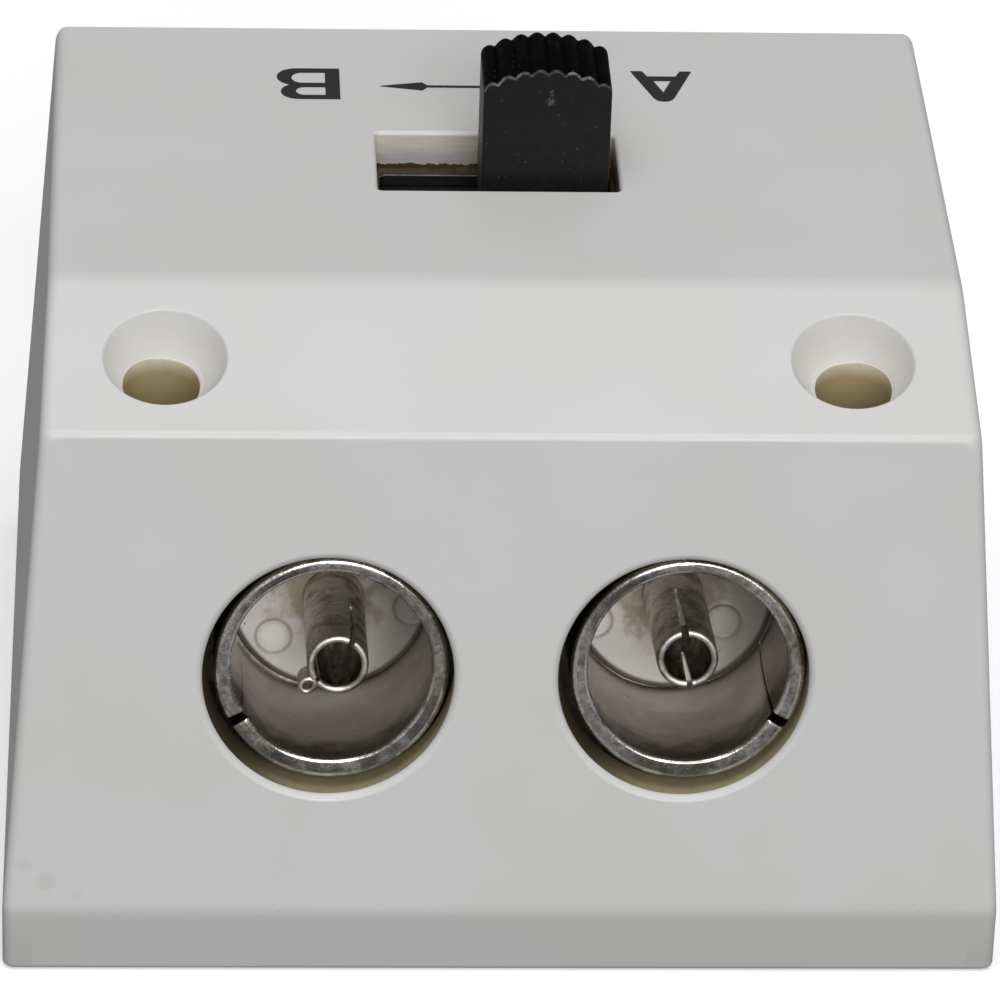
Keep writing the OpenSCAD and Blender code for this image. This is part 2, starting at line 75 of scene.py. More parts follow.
FIXING_PITCH, FIXING_RISE, FIXING_R = 31.1, 4.52, 1.72
SINK_R, SINK_DEPTH = 2.78, 1.6
GUIDE_R, GUIDE_Z = 3, 20.6          # the tube round a fixing hole inside the box, and its lower end
BOSS_X, BOSS_R, BOSS_TOP, BOSS_YS = 18.6, 2.3, 12.0, (-14.6, 15.3)
BOSS_HOLE_R, BOSS_HOLE_TOP = 1.1, 10
PEG_X, PEG_R, PEG_LENGTH = 13.8, 1.2, 1.4       # the two pegs under the top that hold the switch frame
BASE_T = 2.0

FOLD_Y = -BODY_D / 2 + (FOLD_H - SKIRT_H) * tan(LEAN)
HOLE_BACK = SINK_DEPTH * sin(TILT)      # a fixing hole's axis is this far behind its countersink's middle


# ---- mesh tools ----
def bm_object(name, bm):
    """A new object holding the bmesh, which is freed."""
    bmesh.ops.recalc_face_normals(bm, faces=bm.faces)
    mesh = bpy.data.meshes.new(name)
    bm.to_mesh(mesh)
    bm.free()
    obj = bpy.data.objects.new(name, mesh)
    bpy.context.scene.collection.objects.link(obj)
    return obj


def apply_modifiers(obj):
    """Replaces the object's mesh by what its modifiers make of it."""
    depsgraph = bpy.context.evaluated_depsgraph_get()
    mesh = bpy.data.meshes.new_from_object(obj.evaluated_get(depsgraph))
    obj.modifiers.clear()
    obj.data = mesh


def boolean(obj, other, operation):
    """Cuts obj with other, or joins it on, and removes other."""
    modifier = obj.modifiers.new("boolean", "BOOLEAN")
    modifier.object = other
    modifier.operation = operation
    modifier.solver = "EXACT"
    apply_modifiers(obj)
    bpy.data.objects.remove(other)


def finish_piece(obj, body, material, replaced, sharp=35, weighted=False):
    """Scales a piece to metres, smooths it, gives it its body and finish, and hides the CAD node it replaces.
    """
    obj.data.transform(Matrix.Scale(MM, 4))
    finishes = [p.material_index for p in obj.data.polygons]
    obj.data.materials.clear()
    for m in material if isinstance(material, list) else [material]:
        obj.data.materials.append(m)
    obj.data.polygons.foreach_set("material_index", finishes)
    obj.data.polygons.foreach_set("use_smooth", [True] * len(obj.data.polygons))
    obj.data.set_sharp_from_angle(angle=rad(sharp))
    if weighted:
        modifier = obj.modifiers.new("normals", "WEIGHTED_NORMAL")
        modifier.keep_sharp = True
        apply_modifiers(obj)
    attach(obj, body)
    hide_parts(replaced)
    return obj


def skin(bm, rings, finishes=None):
    """Faces from each closed ring of vertices to the next, with a finish for each stretch of a ring."""
    count = len(rings[0])
    for one, two in zip(rings, rings[1:]):
        for i in range(count):
            k = (i + 1) % count
            face = bm.faces.new((one[i], one[k], two[k], two[i]))
            if finishes:
                face.material_index = finishes[i]


def capped(name, rings, finishes=None):
    """A solid through closed rings of points, with flat ends."""
    bm = bmesh.new()
    made = [[bm.verts.new(point) for point in ring] for ring in rings]
    skin(bm, made, finishes)
    bm.faces.new(made[0])
    bm.faces.new(made[-1][::-1])
    return bm_object(name, bm)


def turned(name, profile, segments=96, matrix=None, place=None):
    """A solid of revolution about the Z axis, from a closed outline of (radius, height) points.
    place(angle, radius, height) may put a point elsewhere than on the plain circle."""
    place = place or (lambda a, r, z: Vector((r * cos(a), r * sin(a), z)))
    bm = bmesh.new()
    angles = [2 * math.pi * i / segments for i in range(segments)]
    rings = [[bm.verts.new(place(a, r, z)) for r, z in profile] for a in angles]
    skin(bm, rings + rings[:1])
    bmesh.ops.remove_doubles(bm, verts=bm.verts, dist=1e-4)
    bmesh.ops.dissolve_degenerate(bm, edges=bm.edges, dist=1e-5)
    bmesh.ops.delete(bm, geom=[e for e in bm.edges if not e.link_faces], context="EDGES")
    if matrix is not None:
        bm.transform(matrix)
    return bm_object(name, bm)


def arc(centre, radius, start, end, steps=5):
    """Points on an arc, angles in degrees from the first axis towards the second."""
    angles = [rad(start + (end - start) * i / steps) for i in range(steps + 1)]
    return [(centre[0] + radius * cos(a), centre[1] + radius * sin(a)) for a in angles]


def block(name, low, high):
    """A plain box between two corners, for cutting or joining."""
    bm = bmesh.new()
    bmesh.ops.create_cube(bm, size=1)
    low, high = Vector(low), Vector(high)
    for v in bm.verts:
        v.co = Vector([low[i] + (high[i] - low[i]) * (v.co[i] + 0.5) for i in range(3)])
    return bm_object(name, bm)


def convex_solid(planes):
    """The bmesh of the space behind all the planes, each a point and a normal."""
    bm = bmesh.new()
    bmesh.ops.create_cube(bm, size=200)
    for point, normal in planes:
        geometry = bm.verts[:] + bm.edges[:] + bm.faces[:]
        cut = bmesh.ops.bisect_plane(bm, geom=geometry, plane_co=point, plane_no=normal,
                                     clear_outer=True)
        edges = [g for g in cut["geom_cut"] if isinstance(g, bmesh.types.BMEdge)]
        bmesh.ops.contextual_create(bm, geom=edges)
    return bm


# ---- node tools ----
class Shader:
    """A material with a Principled shader and short ways to make its nodes."""

    def __init__(self, name):
        self.material = bpy.data.materials.new(name)
        self.material.use_nodes = True
        self.tree = self.material.node_tree
        self.bsdf = self.tree.nodes["Principled BSDF"]
        coordinates = self.node("TexCoord", {}).outputs["Object"]
        in_mm = self.node("VectorMath", {0: coordinates, "Scale": 1 / MM}, operation="SCALE")
        self.place = in_mm.outputs[0]

    def set(self, socket, value):
        """Gives an input a value or links an output to it."""
        if isinstance(value, bpy.types.NodeSocket):
            self.tree.links.new(value, socket)
        else:
            socket.default_value = value

    def node(self, kind, inputs, **settings):
        """A new node with its settings, and its inputs set or linked."""
        made = self.tree.nodes.new("ShaderNode" + kind)
        for name, value in settings.items():
            setattr(made, name, value)
        for name, value in inputs.items():
            self.set(made.inputs[name], value)
        return made

    def surface(self, colour, roughness, normal=None, **others):
        """The material, with the shader's inputs. Others have underscores for the spaces in their names."""
        others.update(Base_Color=colour, Roughness=roughness)
        if normal is not None:
            others["Normal"] = normal
        for name, value in others.items():
            self.set(self.bsdf.inputs[name.replace("_", " ")], value)
        return self.material

    def noise(self, scale, detail=3, roughness=0.5, stretch=None):
        """Noise whose features are about 1 / scale millimetres."""
        place = self.place
        if stretch:
            place = self.node("Mapping", {"Vector": place, "Scale": stretch}).outputs["Vector"]
        inputs = {"Vector": place, "Scale": scale, "Detail": detail, "Roughness": roughness}
        return self.node("TexNoise", inputs).outputs["Fac"]

    def specks(self, scale, size, seed=0.0):
        """1 inside small round specks, whose cells are 1 / scale millimetres, and 0 elsewhere."""
        moved = self.vector("ADD", self.place, (seed, seed * 0.7, seed * 1.3))
        cells = self.node("TexVoronoi", {"Vector": moved, "Scale": scale})
        near = self.ramp(cells.outputs["Distance"], size * 0.6, size, 1, 0)
        chosen = self.node("SeparateColor", {0: cells.outputs["Color"]})
        few = self.math("GREATER_THAN", chosen.outputs[0], 0.6)
        return self.times(near, few)

    def vector(self, operation, a, b):
        """A vector sum, or a number where the operation gives one."""
        gives_number = operation in ("LENGTH", "DISTANCE", "DOT_PRODUCT")
        node = self.node("VectorMath", {0: a, 1: b}, operation=operation)
        return node.outputs["Value" if gives_number else "Vector"]

    def math(self, operation, a, b=0.0):
        return self.node("Math", {0: a, 1: b}, operation=operation).outputs[0]

    def times(self, a, b):
        return self.math("MULTIPLY", a, b)

    def ramp(self, value, low, high, out_low=0.0, out_high=1.0):
        """Maps value from low..high to out_low..out_high, smoothly and clamped."""
        inputs = {"Value": value, "From Min": low, "From Max": high, "To Min": out_low, "To Max": out_high}
        return self.node("MapRange", inputs, interpolation_type="SMOOTHSTEP").outputs["Result"]

    def mix(self, factor, a, b):
        """Mixes two colours."""
        a, b = (v if isinstance(v, bpy.types.NodeSocket) else (*v, 1) for v in (a, b))
        return self.node("Mix", {"Factor": factor, "A": a, "B": b}, data_type="RGBA").outputs["Result"]

    def bump(self, height, depth, normal=None):
        """A bump whose height output, 0 to 1, stands for depth millimetres."""
        inputs = {"Height": height, "Distance": depth * MM}
        if normal is not None:
            inputs["Normal"] = normal
        return self.node("Bump", inputs).outputs["Normal"]

    def axis(self, name):
        """A point's X, Y or Z, in millimetres."""
        return self.node("SeparateXYZ", {0: self.place}).outputs[name]

    def upward(self):
        """How far the surface faces up: 1 where it is level and 0 where it is upright."""
        return self.vector("DOT_PRODUCT", self.node("NewGeometry", {}).outputs["Normal"], (0, 0, 1))

    def from_axis(self, point, direction):
        """Distance from a line and distance along it, in millimetres."""
        away = self.vector("SUBTRACT", self.place, tuple(point))
        along = self.vector("DOT_PRODUCT", away, tuple(direction))
        foot = self.node("VectorMath", {0: direction, "Scale": along}, operation="SCALE")
        flat = self.vector("SUBTRACT", away, foot.outputs["Vector"])
        return self.vector("LENGTH", flat, (0, 0, 0)), along

    def spot(self, centre, radius, edge=0.4):
        """1 within radius of a point, in millimetres, falling to 0 with a ragged edge."""
        distance = self.vector("DISTANCE", self.place, centre)
        ragged = self.math("ADD", distance, self.times(self.noise(2.2 / radius, 4), radius))
        return self.ramp(ragged, radius * (1.5 - edge), radius * 1.5, 1, 0)


# ---- materials ----
WHITE = (0.60, 0.60, 0.605)
WHITE_WARM = (0.585, 0.58, 0.565)
STAINS = (((-20.6, -19.6, 4.6), 0.55, 0.22),      # place and radius in millimetres, and strength
          ((-21.6, -19.5, 5.4), 0.45, 0.16),
          ((-19.2, -19.7, 3.9), 0.40, 0.12))


def cover_material():
    """Off-white moulded plastic: faint clouding, fine grain, a few specks and stains, and painted shade on
    the skirt.
    """
    s = Shader("cover_white")
    clouds = s.noise(0.12, 2)
    colour = s.mix(s.ramp(clouds, 0.35, 0.65), WHITE, WHITE_WARM)
    # painted shade: the skirt, below its fold, is darkened towards grey
    skirt = s.ramp(s.axis("Z"), SKIRT_H - 0.3, SKIRT_H + 0.5, 1, 0)
    colour = s.mix(s.times(skirt, 0.42), colour, (0.37, 0.37, 0.355))
    low = s.ramp(s.axis("Z"), 1.0, 9.0, 1, 0)
    specks = s.times(s.specks(2.6, 0.10), s.math("ADD", s.times(low, 0.5), 0.06))
    colour = s.mix(specks, colour, (0.34, 0.22, 0.10))
    for centre, radius, strength in STAINS:
        stain = s.times(s.spot(centre, radius), strength)
        colour = s.mix(stain, colour, (0.50, 0.38, 0.20))
    grain = s.noise(9, 2)
    rough = s.ramp(s.noise(0.35, 3), 0.3, 0.7, 0.34, 0.44)
    return s.surface(colour, rough, s.bump(grain, 0.0025, s.bump(s.noise(0.25, 1), 0.010)), IOR=1.49)


def recess_material():
    """The walls of the mouths round the sockets, in painted shade and reflection: olive brown below, nearly
    black on the left, with a faint painted glow.
    """
    s = Shader("cover_recess")
    across = s.math("FLOORED_MODULO", s.axis("X"), SOCKET_PITCH)
    # painted shade and reflection: the white plastic's walls are coloured olive brown
    colour = s.mix(s.noise(1.5, 4), (0.21, 0.165, 0.09), (0.30, 0.25, 0.16))
    # painted shade: nearly black towards the left of each mouth, where the sleeve shades the wall
    colour = s.mix(s.ramp(across, 3.4, 7.2, 0.95, 0), colour, (0.03, 0.02, 0.01))
    # painted glow: the walls faintly emit their own colour
    return s.surface(colour, 0.5, s.bump(s.noise(5, 3), 0.01), Emission_Color=colour, Emission_Strength=0.10)


def sink_material():
    """The countersinks: the cover's plastic, with a painted glow towards the foot that stands for light
    soaking through the thin wall, and painted shade on the lip, which faces up and gets no glow."""
    s = Shader("cover_countersink")
    colour = s.mix(s.ramp(s.noise(0.35, 4), 0.35, 0.7), (0.60, 0.595, 0.575), (0.57, 0.56, 0.53))
    # painted shade: darker where the surface faces up, on the lip
    lip = s.ramp(s.upward(), 0.5, 0.85)
    colour = s.mix(lip, colour, (0.52, 0.52, 0.51))
    # painted glow: emission, stronger towards the foot and none on the lip
    painted_glow = s.ramp(s.axis("Z"), 25.6, 27.4, 0.12, 0.035)
    painted_glow = s.times(painted_glow, s.math("SUBTRACT", 1.0, lip))
    return s.surface(colour, 0.65, s.bump(s.noise(1.2, 3), 0.004), Specular_IOR_Level=0.3,
                     Emission_Color=(1.0, 0.985, 0.93, 1), Emission_Strength=painted_glow)


def fixing_material():
    """The fixing holes, in painted light and shade: beige at the top, where light soaks through, and olive
    brown further down.
    """
    s = Shader("cover_fixing_hole")
    lip = fixing_places()[0].z - 1.35
    depth = s.math("ADD", s.axis("Z"), s.times(s.noise(1.2, 3), 0.35))
    # painted light and shade: beige near the top of the hole, darkening to olive brown deeper in
    colour = s.mix(s.ramp(depth, lip - 0.75, lip + 0.35), (0.34, 0.265, 0.14), (0.66, 0.60, 0.48))
    colour = s.mix(s.ramp(s.noise(6, 3, 0.7), 0.55, 0.75, 0, 0.25), colour, (0.30, 0.23, 0.13))
    return s.surface(colour, 0.6, s.bump(s.noise(5, 2), 0.006))


def nickel_material(name, bright, dull, roughness, brown):
    """Plated rolled metal: dull in patches, stained brown, finely pitted."""
    s = Shader(name)
    patches = s.ramp(s.noise(0.9, 5, 0.6), 0.42, 0.68)
    colour = s.mix(patches, bright, dull)
    stain = s.times(s.ramp(s.noise(2.6, 5, 0.65), 0.55, 0.72), brown)
    colour = s.mix(stain, colour, (0.20, 0.145, 0.085))
    pits = s.specks(5.5, 0.22)
    colour = s.mix(s.times(pits, 0.7), colour, (0.05, 0.04, 0.03))
    rough = s.ramp(s.noise(4, 5, 0.7), 0.3, 0.75, roughness, roughness + 0.22)
    height = s.math("SUBTRACT", s.noise(7, 5, 0.7), s.times(pits, 0.5))
    return s.surface(colour, rough, s.bump(height, 0.012), Metallic=1.0)


def sleeve_wall(name, matrix):
    """A sleeve's walls: smooth dull nickel, with painted shade nearly black just behind the rim, and a few
    dark pits.
    """
    s = Shader(name)
    _, along = s.from_axis(matrix.translation, matrix.col[2].to_3d())
    colour = s.mix(s.ramp(s.noise(0.5, 3), 0.35, 0.7), (0.57, 0.53, 0.47), (0.46, 0.42, 0.365))
    uneven = s.math("ADD", along, s.ramp(s.noise(0.9, 4), 0.3, 0.7, -0.4, 0.4))
    # painted shade: nearly black behind the rim, fading out deeper in
    colour = s.mix(s.ramp(uneven, 1.6, 4.4, 0.97, 0), colour, (0.035, 0.025, 0.014))
    colour = s.mix(s.times(s.specks(1.3, 0.10), 0.7), colour, (0.04, 0.03, 0.02))
    rough = s.ramp(s.noise(3, 4, 0.6), 0.3, 0.7, 0.36, 0.46)
    return s.surface(colour, rough, s.bump(s.noise(5, 3), 0.003), Metallic=1.0)


def contact_bore_material():
    """The inside of a contact: nearly black, with lighter streaks along it that are painted reflections."""
    s = Shader("contact_bore")
    streaks = s.ramp(s.noise(2.2, 4, 0.6, stretch=(1, 0.12, 1)), 0.42, 0.62)
    # painted reflections: lighter streaks along the bore
    colour = s.mix(streaks, (0.055, 0.042, 0.026), (0.36, 0.31, 0.23))
    return s.surface(colour, 0.4, s.bump(streaks, 0.004), Metallic=1.0)


def sleeve_end():
    """The filed end of a sleeve: grey, nearly black in long patches, browned and scratched."""
    s = Shader("nickel_end")
    colour = s.mix(s.ramp(s.noise(3.5, 5, 0.7), 0.35, 0.68), (0.40, 0.385, 0.36), (0.21, 0.195, 0.17))
    colour = s.mix(s.ramp(s.noise(0.30, 4, 0.6), 0.46, 0.60, 0, 0.75), colour, (0.06, 0.055, 0.052))
    colour = s.mix(s.ramp(s.noise(1.1, 4), 0.5, 0.7, 0, 0.7), colour, (0.12, 0.085, 0.045))
    colour = s.mix(s.specks(7, 0.16), colour, (0.70, 0.69, 0.66))
    rough = s.ramp(s.noise(6, 4), 0.3, 0.7, 0.32, 0.5)
    return s.surface(colour, rough, s.bump(s.noise(9, 4, 0.7), 0.018), Metallic=1.0)


def sleeve_edge():
    """The edges of a sleeve's end, rubbed bright in stretches."""
    s = Shader("nickel_edge")
    colour = s.mix(s.ramp(s.noise(4, 4, 0.7), 0.45, 0.75), (0.86, 0.845, 0.81), (0.50, 0.46, 0.39))
    colour = s.mix(s.ramp(s.noise(0.38, 5, 0.65), 0.46, 0.60, 0, 0.8), colour, (0.20, 0.18, 0.145))
    rough = s.ramp(s.noise(7, 3), 0.3, 0.7, 0.16, 0.32)
    return s.surface(colour, rough, s.bump(s.noise(8, 3), 0.006), Metallic=1.0)


def insulator_material(name, matrix, marks):
    """Milky moulded plastic, browned round the contact, with brown rings round its moulded marks and
    lighter within them, painted shade at its rim and on its right, and a painted glow on its left."""
    s = Shader(name)
    radius, _ = s.from_axis(matrix.translation, matrix.col[2].to_3d())
    uneven = s.math("ADD", radius, s.ramp(s.noise(0.8, 5, 0.65), 0.25, 0.75, -0.9, 0.9))
    colour = s.mix(s.noise(0.5, 3), (0.76, 0.74, 0.70), (0.60, 0.58, 0.53))
    colour = s.mix(s.ramp(uneven, 1.5, 3.0, 0.75, 0), colour, (0.27, 0.20, 0.11))
    # painted shade: nearly black towards the rim, where the sleeve's wall meets the disc
    colour = s.mix(s.ramp(radius, 4.36, 4.56, 0, 0.95), colour, (0.05, 0.035, 0.02))
    for angle, away in marks:
        centre = matrix @ Vector((away * cos(rad(angle)), away * sin(rad(angle)), INSULATOR_A))
        distance = s.vector("DISTANCE", s.place, tuple(centre))
        ring = s.times(s.ramp(distance, 0.70, 0.82), s.ramp(distance, 0.82, 0.98, 1, 0))
        colour = s.mix(s.times(ring, 0.6), colour, (0.24, 0.17, 0.09))
        colour = s.mix(s.ramp(distance, 0.35, 0.72, 0.5, 0), colour, (0.93, 0.92, 0.89))
    colour = s.mix(s.specks(1.9, 0.09), colour, (0.10, 0.07, 0.04))
    middle = matrix.translation.x
    # painted shade: darker towards the right
    shaded = s.ramp(s.axis("X"), middle + 1.4, middle + 3.2, 0, 0.5)
    colour = s.mix(shaded, colour, (0.12, 0.11, 0.095))
    # painted glow: emission, stronger towards the left
    painted_glow = s.ramp(s.axis("X"), middle - 3.5, middle + 3.0, 0.13, 0.0)
    return s.surface(colour, 0.42, s.bump(s.noise(1.5, 3), 0.03), Subsurface_Weight=0.15,
                     Subsurface_Scale=0.6 * MM, Emission_Color=colour, Emission_Strength=painted_glow)


def knob_material(name, shade, gloss, dust):
    """Black moulded nylon with dust in its grain and a pale rub mark on its front. shade is how light
    it is, gloss how much it shines and dust how dusty it is."""
    s = Shader(name)
    front = SWITCH_Y - KNOB_D / 2
    dark, light = (0.75 * shade, 0.76 * shade, 0.83 * shade), (shade, shade, 1.09 * shade)
    colour = s.mix(s.ramp(s.noise(1.3, 4), 0.35, 0.7), dark, light)
    fine = s.ramp(s.noise(11, 3, 0.7), 0.62, 0.80)
    colour = s.mix(s.times(fine, dust * 0.5), colour, (0.10, 0.085, 0.06))
    specks = s.specks(3.4, 0.13, 2.0)
    colour = s.mix(s.times(specks, dust), colour, (0.22, 0.19, 0.14))
    rubbed_low = s.spot((REST_X + 0.13, front, 32.95), 0.26)
    rub = s.math("MAXIMUM", rubbed_low, s.spot((REST_X + 0.15, front, 33.4), 0.2))
    rub = s.times(rub, s.ramp(s.noise(7, 4, 0.7), 0.4, 0.6))
    colour = s.mix(s.times(rub, 0.5), colour, (0.22, 0.19, 0.15))
    rough = s.ramp(s.noise(2.5, 4), 0.3, 0.7, 0.42, 0.58)
    return s.surface(colour, rough, s.bump(s.noise(10, 3, 0.6), 0.008), Specular_IOR_Level=gloss)


def knob_edge_material():
    """The knob's edges, rubbed grey and dusty."""
    s = Shader("knob_worn_edge")
    worn = s.ramp(s.noise(2.2, 5, 0.75), 0.47, 0.66)
    colour = s.mix(worn, (0.014, 0.014, 0.015), (0.17, 0.15, 0.125))
    return s.surface(colour, 0.5, s.bump(s.noise(9, 3), 0.01))


def slot_material():
    """The slot's walls, with painted light and shade: lighter under the edge, darker lower down, black at the
    foot; browner low on the right end, and scraped glossy between.
    """
    s = Shader("cover_slot_wall")
    height = s.math("ADD", s.axis("Z"), s.ramp(s.noise(4.5, 4), 0.3, 0.7, -0.06, 0.06))
    # painted light and shade: lighter and warmer towards the top of the wall, darker further down
    colour = s.mix(s.ramp(height, 27.2, 28.3), (0.36, 0.355, 0.345), (0.60, 0.565, 0.49))
    foot = s.ramp(height, 27.11, 27.15, 1, 0)
    # painted shade: black at the foot of the wall
    colour = s.mix(foot, colour, (0.03, 0.02, 0.008))
    right = s.ramp(s.axis("X"), SLOT_W / 2 - 0.5, SLOT_W / 2 - 0.1)
    end = s.times(right, s.ramp(height, 27.3, 28.4, 1, 0.2))
    colour = s.mix(end, colour, (0.16, 0.115, 0.055))
    streak = s.noise(1.2, 3, 0.5, stretch=(0.5, 1, 4))
    return s.surface(colour, s.ramp(streak, 0.4, 0.6, 0.15, 0.4), s.bump(streak, 0.025))


def plain_metal(name, colour, roughness, brushed=(1, 1, 1), shade_below=None):
    """Pressed or drawn metal with a rubbed finish and slight tarnish. Below a height it is black and not
    metallic, painted shade, and just above that a thin bright line is a painted highlight."""
    s = Shader(name)
    tint = s.mix(s.ramp(s.noise(0.8, 5, 0.6), 0.4, 0.7), colour, [c * 0.62 for c in colour])
    metallic = 1.0
    if shade_below is not None:
        # painted shade: black and not metallic below the height
        painted_shade = s.ramp(s.axis("Z"), shade_below - 0.03, shade_below, 1, 0)
        # painted highlight: a thin bright line just above it
        rubbed = s.ramp(s.axis("Z"), shade_below + 0.04, shade_below + 0.06, 1, 0)
        tint = s.mix(rubbed, tint, (0.95, 0.92, 0.85))
        tint = s.mix(painted_shade, tint, (0.008, 0.007, 0.006))
        metallic = s.math("SUBTRACT", 1.0, painted_shade)
    lines = s.noise(6, 4, 0.6, stretch=brushed)
    rough = s.ramp(lines, 0.3, 0.7, roughness, roughness + 0.2)
    return s.surface(tint, rough, s.bump(lines, 0.008), Metallic=metallic)


def base_material():
    """Matt moulded plate, scuffed."""
    s = Shader("base_plastic")
    scuffs = s.ramp(s.noise(0.6, 6, 0.7, stretch=(1, 0.25, 1)), 0.5, 0.75)
    colour = s.mix(scuffs, (0.55, 0.55, 0.54), (0.44, 0.43, 0.40))
    rough = s.ramp(scuffs, 0, 1, 0.5, 0.7)
    return s.surface(colour, rough, s.bump(s.noise(5, 4), 0.012))


def board_material():
    """Brown phenolic paper board with its layers showing as faint streaks."""
    s = Shader("phenolic_board")
    fibres = s.noise(1.5, 5, 0.65, stretch=(0.3, 2.5, 2.5))
    colour = s.mix(fibres, (0.16, 0.075, 0.03), (0.26, 0.13, 0.055))
    return s.surface(colour, 0.55, s.bump(fibres, 0.01))


def ink_material():
    """Printed black ink, a little thin in places."""
    s = Shader("black_ink")
    thin = s.ramp(s.noise(6, 4, 0.7), 0.55, 0.8)
    colour = s.mix(thin, (0.010, 0.010, 0.011), (0.05, 0.05, 0.05))
    return s.surface(colour, 0.6, s.bump(s.noise(14, 2), 0.004))


# ---- the cover ----
def cover_planes(inset=0.0, bottom=0.0):
    """The box's faces as points and outward normals, moved inwards by inset."""
    faces = [((0, -BODY_D / 2, 0), (0, -1, 0)), ((0, BODY_D / 2, 0), (0, 1, 0)),
             ((0, -BODY_D / 2, SKIRT_H), (0, -cos(LEAN), sin(LEAN))),
             ((0, BODY_D / 2, SKIRT_H), (0, cos(DRAFT), sin(DRAFT))),
             ((0, FOLD_Y, FOLD_H), (0, -sin(TILT), cos(TILT))), ((0, 0, BODY_H), (0, 0, 1))]
    for side in (-1, 1):
        faces.append(((side * BODY_W / 2, 0, 0), (side, 0, 0)))
        faces.append(((side * BODY_W / 2, 0, SKIRT_H), (side * cos(DRAFT), 0, sin(DRAFT))))
    planes = [(Vector(point) - Vector(normal) * inset, Vector(normal)) for point, normal in faces]
    return planes + [(Vector((0, 0, bottom)), Vector((0, 0, -1)))]


SIDE_R, FOOT_R, SKIRT_FOLD_R = 0.5, 0.3, 4.0
CRISP_R, BROW_R, REAR_TOP_R = 0.45, 3.0, 0.12
CURL_START, CURL_LENGTH, CURL_DROP = 1.4, 1.05, 0.7     # how the crisp fold's rounding opens at its ends


def corner_curve(corner, before, after, run_in, run_out, steps):
    """A conic from run_in short of a corner to run_out past it, a circle's arc when the two are equal."""
    one, two = (corner - before).normalized(), (after - corner).normalized()
    start, end, weight = corner - one * run_in, corner + two * run_out, cos(one.angle(two) / 2)
    points = []
    for i in range(steps + 1):
        t = i / steps
        a, b, c = (1 - t) ** 2, 2 * weight * t * (1 - t), t * t
        points.append((a * start + b * corner + c * end) / (a + b + c))
    return points


def side_profile(inset, drop):
    """The box seen from its side, as (y, z) points from the front foot over the top to the rear foot.
    It is moved inwards by inset, but not at the foot. The crisp fold's rounding reaches down by drop."""
    brow_y = FOLD_Y + (BODY_H - FOLD_H) / tan(TILT)
    rear_y = BODY_D / 2 - (BODY_H - SKIRT_H) * tan(DRAFT)
    corners = [(-BODY_D / 2, 0), (-BODY_D / 2, SKIRT_H), (FOLD_Y, FOLD_H), (brow_y, BODY_H),
               (rear_y, BODY_H), (BODY_D / 2, SKIRT_H), (BODY_D / 2, 0)]
    radii = [FOOT_R, SKIRT_FOLD_R, CRISP_R, BROW_R, REAR_TOP_R, SKIRT_FOLD_R, FOOT_R]
    steps = [4, 4, 8, 5, 8, 4, 4]
    corners = [Vector(c) for c in corners]
    ways = [(corners[(i + 1) % 7] - corners[i]).normalized() for i in range(7)]
    inward = [Vector((way.y, -way.x)) for way in ways[:-1]] + [Vector((0, 0))]
    moved = [c + inset * (inward[i - 1] + inward[i]) / (1 + inward[i - 1].dot(inward[i]))
             for i, c in enumerate(corners)]
    points = []
    for i, (corner, radius, count) in enumerate(zip(moved, radii, steps)):
        run = radius * tan(ways[i - 1].angle(ways[i]) / 2)
        points += corner_curve(corner, moved[i - 1], moved[(i + 1) % 7], run + (drop if i == 2 else 0),
                               run, count)
    return points


def side_x(z):
    """Half the box's width at a height, with the foot and the skirt's fold rounded."""
    soft = SKIRT_FOLD_R * tan(DRAFT / 2)
    lean = min(max(0.0, z - SKIRT_H + soft), 2 * soft) ** 2 / (4 * soft) + max(0.0, z - SKIRT_H - soft)
    foot = FOOT_R - math.sqrt(FOOT_R ** 2 - max(0.0, FOOT_R - z) ** 2)
    return BODY_W / 2 - lean * tan(DRAFT) - foot


def rounded_box():
    """The cover's outer shape: its side profile drawn from side to side, with rounded ends."""
    edges = [CURL_START - CURL_LENGTH * i / 7 for i in range(7)]
    stations = [(edge, 0) for edge in edges if edge > SIDE_R]
    stations += [(SIDE_R * (1 - sin(t)), SIDE_R * (1 - cos(t))) for t in QUARTER]
    bm = bmesh.new()
    halves = []
    for side in (-1, 1):
        rings = []
        for edge, inset in stations:
            share = min(1.0, max(0.0, (CURL_START - edge) / CURL_LENGTH))
            points = side_profile(inset, CURL_DROP * (1 - math.sqrt(1 - share ** 2)))
            rings.append([bm.verts.new((side * (side_x(p.y) - edge), p.x, p.y)) for p in points])
        halves.append(rings)
    rings = halves[0][::-1] + halves[1]
    skin(bm, rings)
    count = len(rings[0])
    low = 9                             # points of the foot and the skirt's fold, paired front to rear
    for end in (rings[0], rings[-1]):
        for i in range(low):
            bm.faces.new((end[i], end[i + 1], end[count - 2 - i], end[count - 1 - i]))
        bm.faces.new(end[low:count - low])
    return bm_object("cover", bm)


def joined(objects):
    """One object that holds the meshes of several that don't touch."""
    bm = bmesh.new()
    for o in objects:
        bm.from_mesh(o.data)
        bpy.data.objects.remove(o)
    return bm_object("joined", bm)


def mouth_cutter(matrix, across, down):
    """The hole in the wall round a socket. It stands a little off the socket's axis at the face, less
    behind it, and has a rounded edge."""
    face, edge, wall_r, wall_z, out_z, in_z = -SLEEVE_SINK, 0.38, MOUTH_R - 0.08, 1.3, -3, 4
    rounded = arc((MOUTH_R + edge, face + edge - HAIR), edge, 270, 180, 6)
    outline = [(0, out_z), (MOUTH_R + edge + 0.02, out_z)] + rounded
    outline += [(wall_r, wall_z), (wall_r, in_z), (0, in_z)]

    def place_point(a, r, z):
        share = 0.4 + 0.6 * min(1.0, max(0.0, (wall_z - z) / 1.6))
        return Vector((r * cos(a) + across * share, r * sin(a) + down * share, z))
    return turned("mouth", outline, 128, matrix, place_point)


